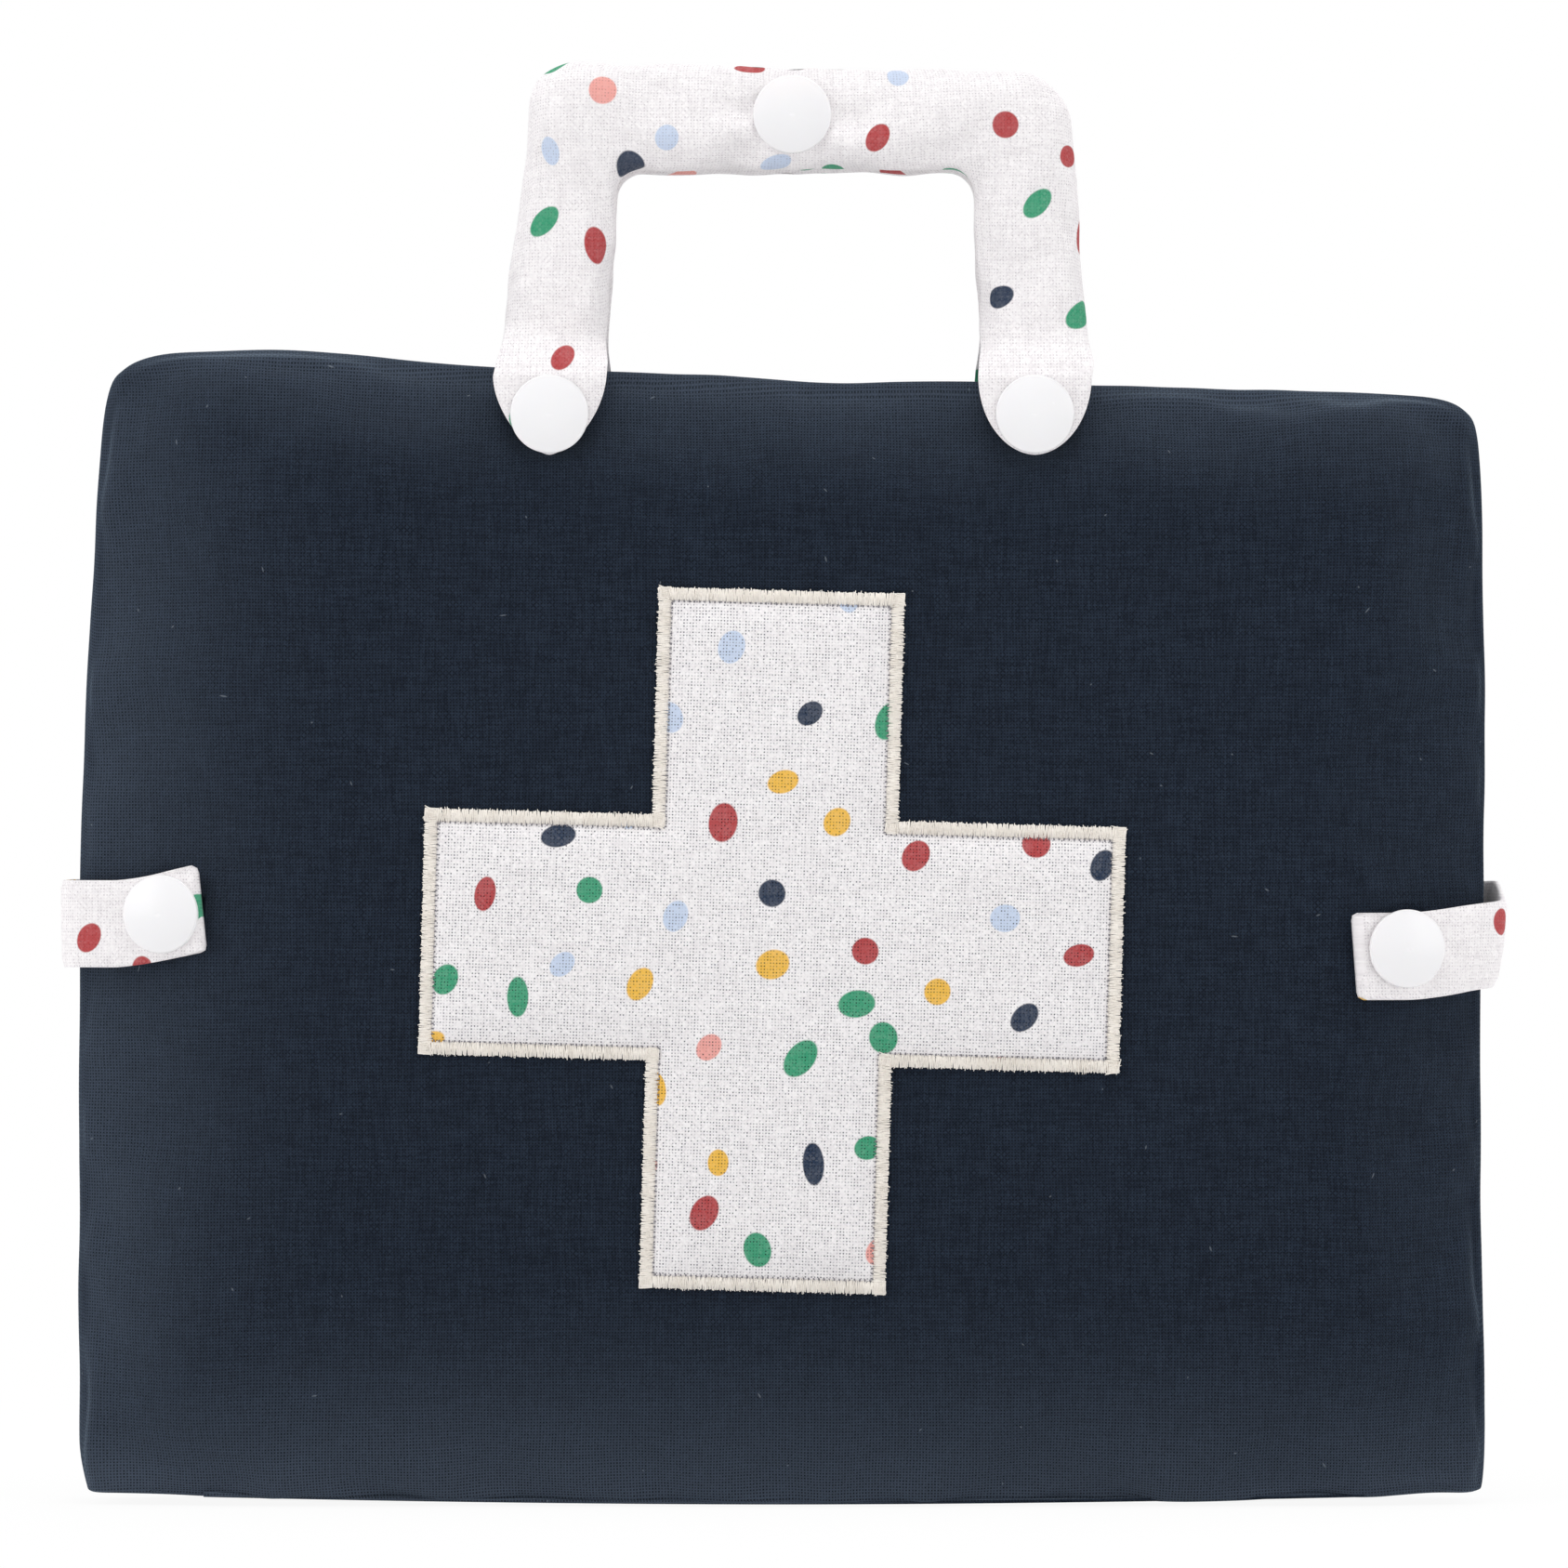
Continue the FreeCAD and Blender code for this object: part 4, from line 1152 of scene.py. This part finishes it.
# Pinch of the bar's snap: how deep it presses, over which radii, and the folds that run out of it.
pinch_depth = 1.6 * mm
pinch_radii = (6.2 * mm, 12.5 * mm)
pinch_free = 1.1
fold_count, fold_turn, fold_depth = 8, 0.7, 0.55 * mm
fold_begin = (6.0 * mm, 7.5 * mm)
fold_fade = (9 * mm, 19 * mm)


def corner_arc(middle, radius, start, end, count):
    """Points of an arc between two angles, with both ends."""
    return [(middle[0] + radius * math.cos(start + (end - start) * i / count),
             middle[1] + radius * math.sin(start + (end - start) * i / count)) for i in range(count + 1)]


def straight(start, end, count):
    """Points of a straight line, without its ends."""
    return [(start[0] + (end[0] - start[0]) * i / count, start[1] + (end[1] - start[1]) * i / count)
            for i in range(1, count)]


def handle_edge(foot_top, tops, corners):
    """Front view of one edge of the U from the left foot to the right foot; the bar slopes a little."""
    left = corner_arc((foot_top["left"][1] + corners[0], tops[0] - corners[0]),
                      corners[0], math.pi, math.pi / 2, arc_steps)
    right = corner_arc((foot_top["right"][1] - corners[1], tops[1] - corners[1]),
                       corners[1], math.pi / 2, 0, arc_steps)
    start = (foot_top["left"][0], leg_bottom)
    end = (foot_top["right"][0], leg_bottom)
    return ([start] + straight(start, left[0], leg_steps)
            + left + straight(left[-1], right[0], bar_steps)
            + right + straight(right[-1], end, leg_steps) + [end])


def foot_stations(side):
    """Edges of a flat tab from its rounded tip up to the leg, as (outer, inner) pairs."""
    low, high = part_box("front_" + side + "_foot")
    middle = (low.x + high.x) / 2
    radius = (high.x - low.x) / 2
    outward = -1 if side == "left" else 1
    pairs = []
    taper, fullness = tab_shape[side]
    for share in tab_shares:
        half = radius * (1 - (1 - share) ** taper) ** fullness
        z = foot_end + tab_round * share
        pairs.append(((middle + outward * half, z), (middle - outward * half, z)))
    for share in ankle_shares:
        z = foot_end + tab_round + (leg_bottom - foot_end - tab_round) * share
        ends = []
        for edge, way in ((handle_outer, outward), (handle_inner, -outward)):
            ends.append(((middle + way * radius) * (1 - share) + edge[side][0] * share, z))
        pairs.append(tuple(ends))
    return pairs


def leg_depth(z):
    """(middle, half) depth of the handle at a height: flat on the tab, full above the seam."""
    front = foot_front + (handle_front - foot_front) * ease(*leg_front_bend, z)
    front -= hump(z, *leg_crease)
    rear = foot_rear + (handle_rear - foot_rear) * ease(*leg_rear_bend, z)
    return (front + rear) / 2, (front - rear) / 2


def superround(angle, power):
    """Point of a rounded square of half size one."""
    c = math.cos(angle)
    s = math.sin(angle)
    return math.copysign(abs(c) ** (2 / power), c), math.copysign(abs(s) ** (2 / power), s)


def handle_piece(name, facing, slack):
    """Cover of a handle with its two tabs, smaller by slack than the room it fills once stuffed."""
    outer_tops = (handle_top + handle_top_puff, handle_top + handle_top_puff - bar_slope)
    edges = list(zip(handle_edge(handle_outer, outer_tops, handle_corners),
                     handle_edge(handle_inner, (grip_top, grip_top), grip_corners)))
    stations = foot_stations("left") + edges + foot_stations("right")[::-1]
    half_ring = handle_ring // 2
    points = []
    cut = []
    for outer, inner in stations:
        outer = Vector(outer)
        inner = Vector(inner)
        middle = (outer + inner) / 2
        depth, half_depth = leg_depth(middle.y)
        full = ease(*stuffed_depths, half_depth)
        reach = (inner - outer) / 2 * (1 - full * slack / (inner - outer).length)
        half_depth -= slack * full
        ring = []
        for spot in range(handle_ring):
            a, b = superround(math.pi * 2 * spot / handle_ring, handle_squareness)
            flat = middle + reach * a
            ring.append(Vector((flat.x, facing * (depth + half_depth * b), flat.y)))
        points += [tuple(point) for point in ring]
        girth = [0.0]
        for spot in range(handle_ring):
            girth.append(girth[-1] + (ring[(spot + 1) % handle_ring] - ring[spot]).length)
        way = reach.normalized()
        front = [middle - way * (girth[spot] - girth[half_ring // 2]) for spot in range(half_ring + 1)]
        rear = [middle + way * (girth[spot] - girth[handle_ring - half_ring // 2])
                for spot in range(half_ring, handle_ring + 1)]
        cut.append(([place + print_shift for place in front],
                    [place + rear_print_shift for place in rear]))
    faces = []
    places = []
    for k in range(len(stations) - 1):
        for spot in range(handle_ring):
            after = (spot + 1) % handle_ring
            quad = [k * handle_ring + spot, k * handle_ring + after,
                    (k + 1) * handle_ring + after, (k + 1) * handle_ring + spot]
            layer, step = divmod(spot, half_ring)
            place = [tuple(cut[row][layer][step + more])
                     for row, more in ((k, 0), (k, 1), (k + 1, 1), (k + 1, 0))]
            faces.append(quad if facing > 0 else quad[::-1])
            places.append(place if facing > 0 else place[::-1])
    for start in (0, (len(stations) - 1) * handle_ring):
        cap = list(range(start, start + handle_ring))
        outward_order = (start == 0) == (facing < 0)
        faces.append(cap if outward_order else cap[::-1])
        places.append([(points[i][0], points[i][2]) for i in faces[-1]])
    held = {i for i, point in enumerate(points)
            if point[2] < held_height or i % handle_ring in (0, half_ring)}
    return make_piece(name, points, faces, places), held


def crumple(piece, size, depth, seed):
    """Soft creases over the stuffed part of a handle."""
    outward = [vertex.normal.copy() for vertex in piece.data.vertices]
    for vertex, way in zip(piece.data.vertices, outward):
        fold = noise.noise(Vector((vertex.co.x, vertex.co.y + seed, vertex.co.z)) / size)
        vertex.co += way * fold * depth * ease(*crease_start, vertex.co.z)


def pinch(piece, facing, middle):
    """Folds that run out from the snap where it presses the stuffed bar together."""
    seat = handle_front - pinch_depth
    bar_middle = (handle_front + handle_rear) / 2
    bar_low = grip_top - 1 * mm
    for vertex in piece.data.vertices:
        if vertex.co.y * facing < bar_middle or vertex.co.z < bar_low:
            continue
        dx = vertex.co.x - middle.x
        dz = vertex.co.z - middle.z
        away = math.hypot(dx, dz)
        pressed = 1 - ease(*pinch_radii, away)
        limit = seat * pressed + handle_front * pinch_free * (1 - pressed)
        depth = min(vertex.co.y * facing, limit)
        fold = math.cos(math.atan2(dz, dx) * fold_count + fold_turn) * fold_depth
        fold *= ease(*fold_begin, away) * (1 - ease(*fold_fade, away))
        vertex.co.y = facing * (depth - fold)


for side, facing in facings.items():
    handle, held = handle_piece(side + "_handle_cloth", facing, handle_slack)
    puff(handle, held, handle_swell)
    subdivide(handle, 2)
    crumple(handle, *broad_crease, 0.2 * facing)
    crumple(handle, *fine_crease, 0.3 * facing)
    pinch(handle, facing, node_middle(side + "_handle_cap"))
    handle.data.materials.append(print_cloth)
    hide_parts(side + "_handle_cover", side + "_handle_filling",
                side + "_left_foot", side + "_right_foot")
    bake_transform(handle)


# Side straps: doubled strips of the printed cotton, caught in the back panel's side seam,
# brought round the open side and snapped to the front. Each is sewn a little askew in its own way,
# so some sizes are given for the left side, -1, and the right side, 1.

strap_width = 13.8 * mm
strap_thickness = 1.3 * mm
strap_rows = [0.0, 0.03, 0.09, 0.2, 0.35, 0.5, 0.65, 0.8, 0.91, 0.97, 1.0]
strap_edge_share, strap_edge_thinning = 0.09, 0.55
strap_tip_x = 91.2 * mm
strap_tip_start = 104 * mm
strap_tip_nick = 0.9 * mm
strap_tip_lean = {-1: -0.7 * mm, 1: 0.5 * mm}
strap_taper = {-1: 0.2 * mm, 1: 1.7 * mm}
strap_taper_run = (105 * mm, 113.5 * mm)
strap_tip_shift = {-1: 0.9 * mm, 1: -0.9 * mm}
strap_slope = math.radians(15.96)
strap_hinge = Vector((114.4 * mm, -13.911 * mm))
strap_seam = Vector((110.4 * mm, 8.1 * mm))
strap_seam_corner = Vector((strap_hinge.x - 0.2 * mm, strap_seam.y - 0.5 * mm))
strap_join = Vector((strap_hinge.x - 0.5 * mm, 3.0 * mm))
strap_turn_start = Vector((strap_hinge.x - 0.1 * mm, strap_hinge.y + 5.0 * mm))
strap_turn_length = 5.0 * mm
strap_print_shift = 0.11
left_drop, right_drop = 1.6 * mm, 1.25 * mm
left_climb, left_climb_start, left_climb_run, left_climb_curve = 2.2 * mm, 106 * mm, 14 * mm, 1.3
right_climb, right_climb_run = 1.7 * mm, (98 * mm, 114.5 * mm)
right_side_climb, right_side_run = 3.2 * mm, (-15 * mm, 5 * mm)
seam_bend = ((112.6 * mm, 8.2 * mm), (114.2 * mm, 5.5 * mm))
corner_bend = ((114.4 * mm, -9.5 * mm), (110.5 * mm, -15.0 * mm))


def turn(start, corner, end, share):
    """Point at a share of a smooth turn from start to end round a corner."""
    return start.lerp(corner, share).lerp(corner.lerp(end, share), share)


def strap_path():
    """Plan of the right strap from its sewn end to its tip, and the point at which its root ends."""
    along = Vector((math.cos(strap_slope), math.sin(strap_slope)))
    tip = strap_hinge - along * ((strap_hinge.x - strap_tip_x) / along.x)
    turn_end = strap_hinge - along * strap_turn_length
    root = [turn(strap_seam, strap_seam_corner, strap_join, i / 9) for i in range(10)]
    path = root + [strap_join.lerp(strap_turn_start, i / 8) for i in range(1, 9)]
    path += [turn(strap_turn_start, strap_hinge, turn_end, i / 12) for i in range(1, 13)]
    path += [turn_end.lerp(tip, i / 14) for i in range(1, 15)]
    return path, len(root) - 1


def strap_piece(name, side, path, height, lift):
    """Strip of cloth along a plan path; lift gives how far it rises at a point of the path."""
    count = len(path) - 1
    sums = [0.0]
    for before, after in zip(path, path[1:]):
        sums.append(sums[-1] + (after - before).length)

    def place(along, up, depth):
        spot = min(count - 1, int(along * count))
        here = path[spot].lerp(path[spot + 1], along * count - spot)
        way = (path[spot + 1] - path[spot]).normalized()
        out = Vector((way.y, -way.x))
        edge = 1 - strap_edge_thinning * (1 - ease(0, strap_edge_share, min(up, 1 - up)))
        shift = out * strap_thickness * (depth - 0.5) * edge
        z = height + strap_width * (up - 0.5) + lift(here)
        tip = ease(strap_tip_start, strap_tip_x, here.x) if here.y < strap_hinge.y else 0.0
        nick = round_off(min(up, 1 - up) * strap_width, strap_tip_nick)
        x = here.x + tip * (strap_tip_shift[side] - strap_tip_lean[side] * (up * 2 - 1) + nick)
        x -= strap_taper[side] * (1 - up) ** 2 * ease(*strap_taper_run, here.x)
        return side * (x + shift.x), here.y + shift.y, z

    rows = strap_rows if side > 0 else strap_rows[::-1]
    piece = grid_block(name, [[i / count for i in range(count + 1)], rows, [0.0, 1.0]], place)
    layer = piece.data.uv_layers["cloth"]
    for corner, loop in zip(layer.data, piece.data.loops):
        spot = piece.data.vertices[loop.vertex_index].co
        plan = Vector((abs(spot.x), spot.y))
        nearest = min(range(len(path)), key=lambda k: (path[k] - plan).length)
        corner.uv = (sums[nearest] + side * strap_print_shift, spot.z)
    return piece


def left_lift(here):
    """The left strap's tongue climbs towards its tip."""
    along = max(0.0, (left_climb_start - here.x) / left_climb_run)
    return -left_drop + left_climb * along ** left_climb_curve


def right_lift(here):
    """The right strap climbs towards the side and again round it."""
    to_side = right_climb * ease(*right_climb_run, here.x)
    return -right_drop + to_side + right_side_climb * ease(*right_side_run, here.y)


for side_name, side, lift in (("left", -1, left_lift), ("right", 1, right_lift)):
    height = node_middle(side_name + "_strap_cap").z
    path, join = strap_path()
    band_path = path[join:]
    root = strap_piece(side_name + "_strap_root", side, path[:join + 1], height, lift)
    band = strap_piece(side_name + "_strap_band", side, band_path, height, lift)
    for piece in (root, band):
        piece.data.materials.append(print_cloth)
    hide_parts(side_name + "_strap_side")
    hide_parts(side_name + "_strap_tongue")
    for piece, ends, inner, outer in ((root, seam_bend, "back_panel", side_name + "_strap_side"),
                                      (band, corner_bend, side_name + "_strap_side",
                                       side_name + "_strap_tongue")):
        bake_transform(piece)


# Floor, light and camera: a white sweep in soft light from above, the sides and behind, a little
# stronger from the left and dim from the front, taken square on from far away.

def shown_rays(tree):
    """1 on the rays that show a background itself: straight, mirrored or through something clear."""
    rays = add_node(tree, "ShaderNodeLightPath").outputs
    shown = rays["Is Camera Ray"]
    for kind in ("Is Glossy Ray", "Is Transmission Ray"):
        either = add_node(tree, "ShaderNodeMath", {0: shown, 1: rays[kind]}, operation="MAXIMUM")
        shown = either.outputs[0]
    return shown


def white_paper():
    """Seamless matt paper: it shows white, and keeps a faint shadow close to the bag."""
    material, tree = new_material("white_paper")
    shadow_reach, white_start = 0.16, 0.36
    near_white = 0.92
    matt = add_node(tree, "ShaderNodeBsdfDiffuse", {"Color": linear("#FAFAFA")})
    glow = add_node(tree, "ShaderNodeEmission", {"Color": linear("#FFFFFF"), "Strength": 1.0})
    place = add_node(tree, "ShaderNodeTexCoord").outputs["Object"]
    away = add_node(tree, "ShaderNodeVectorMath", {0: place}, operation="LENGTH")
    fade = add_node(tree, "ShaderNodeMapRange",
                    {0: away.outputs["Value"], 1: shadow_reach, 2: white_start, 3: near_white, 4: 1.0})
    seen = add_node(tree, "ShaderNodeMath",
                    {0: shown_rays(tree), 1: fade.outputs[0]}, operation="MULTIPLY")
    both = add_node(tree, "ShaderNodeMixShader",
                    {0: seen.outputs[0], 1: matt.outputs[0], 2: glow.outputs[0]})
    add_node(tree, "ShaderNodeOutputMaterial", {0: both.outputs[0]})
    return material


floor_half = 3.0
floor_mesh = bpy.data.meshes.new("floor")
floor_corners = [(x * floor_half, y * floor_half, 0) for x, y in ((-1, -1), (1, -1), (1, 1), (-1, 1))]
floor_mesh.from_pydata(floor_corners, [], [(0, 1, 2, 3)])
floor = bpy.data.objects.new("floor", floor_mesh)
scene.collection.objects.link(floor)
floor.data.materials.append(white_paper())

world = bpy.data.worlds.new("daylight")
world.use_nodes = True
sky_tree = world.node_tree
sky_tree.nodes.clear()
front_light, side_light = 0.24, 0.75
sky_way = add_node(sky_tree, "ShaderNodeTexCoord").outputs["Generated"]
sky_part = add_node(sky_tree, "ShaderNodeSeparateXYZ", {0: sky_way})
sky_light = add_node(sky_tree, "ShaderNodeMapRange",
                     {0: sky_part.outputs[1], 1: -1.0, 2: 0.0, 3: front_light, 4: side_light})
sky_strength = add_node(sky_tree, "ShaderNodeMix",
                        {0: shown_rays(sky_tree), 2: sky_light.outputs[0], 3: 1.0})
sky = add_node(sky_tree, "ShaderNodeBackground",
               {"Color": linear("#FFFFFF"), "Strength": sky_strength.outputs[0]})
add_node(sky_tree, "ShaderNodeOutputWorld", {0: sky.outputs[0]})
scene.world = world
scene.view_settings.view_transform = "Standard"


def soft_lamp(name, place, width, power):
    """Large square lamp aimed at the middle of the bag."""
    lamp = bpy.data.lights.new(name, "AREA")
    lamp.size = width
    lamp.energy = power
    holder = bpy.data.objects.new(name, lamp)
    holder.location = place
    aim = Vector((0, 0, bag_height / 2)) - Vector(place)
    holder.rotation_euler = aim.to_track_quat("-Z", "Y").to_euler()
    scene.collection.objects.link(holder)


soft_lamp("window_left", (-1.5, -0.9, 0.6), 1.2, 8.5)
soft_lamp("room_right", (1.5, -0.9, 0.5), 1.2, 6.5)
soft_lamp("room_above", (0.0, -0.5, 1.8), 1.4, 14.0)
soft_lamp("room_back", (0.5, 1.5, 1.0), 1.2, 8.0)

frame_width = 249.0 * mm
view_height = 114.5 * mm
lens_mm = 300.0
sensor_mm = 36.0
camera = bpy.data.cameras.new("camera")
camera.lens = lens_mm
camera.sensor_width = sensor_mm
camera_holder = bpy.data.objects.new("camera", camera)
view_distance = (outer_face + inner_face) / 2 + frame_width * lens_mm / sensor_mm
camera_holder.location = (0, -view_distance, view_height)
camera_holder.rotation_euler = (math.pi / 2, 0, 0)
scene.collection.objects.link(camera_holder)
scene.camera = camera_holder
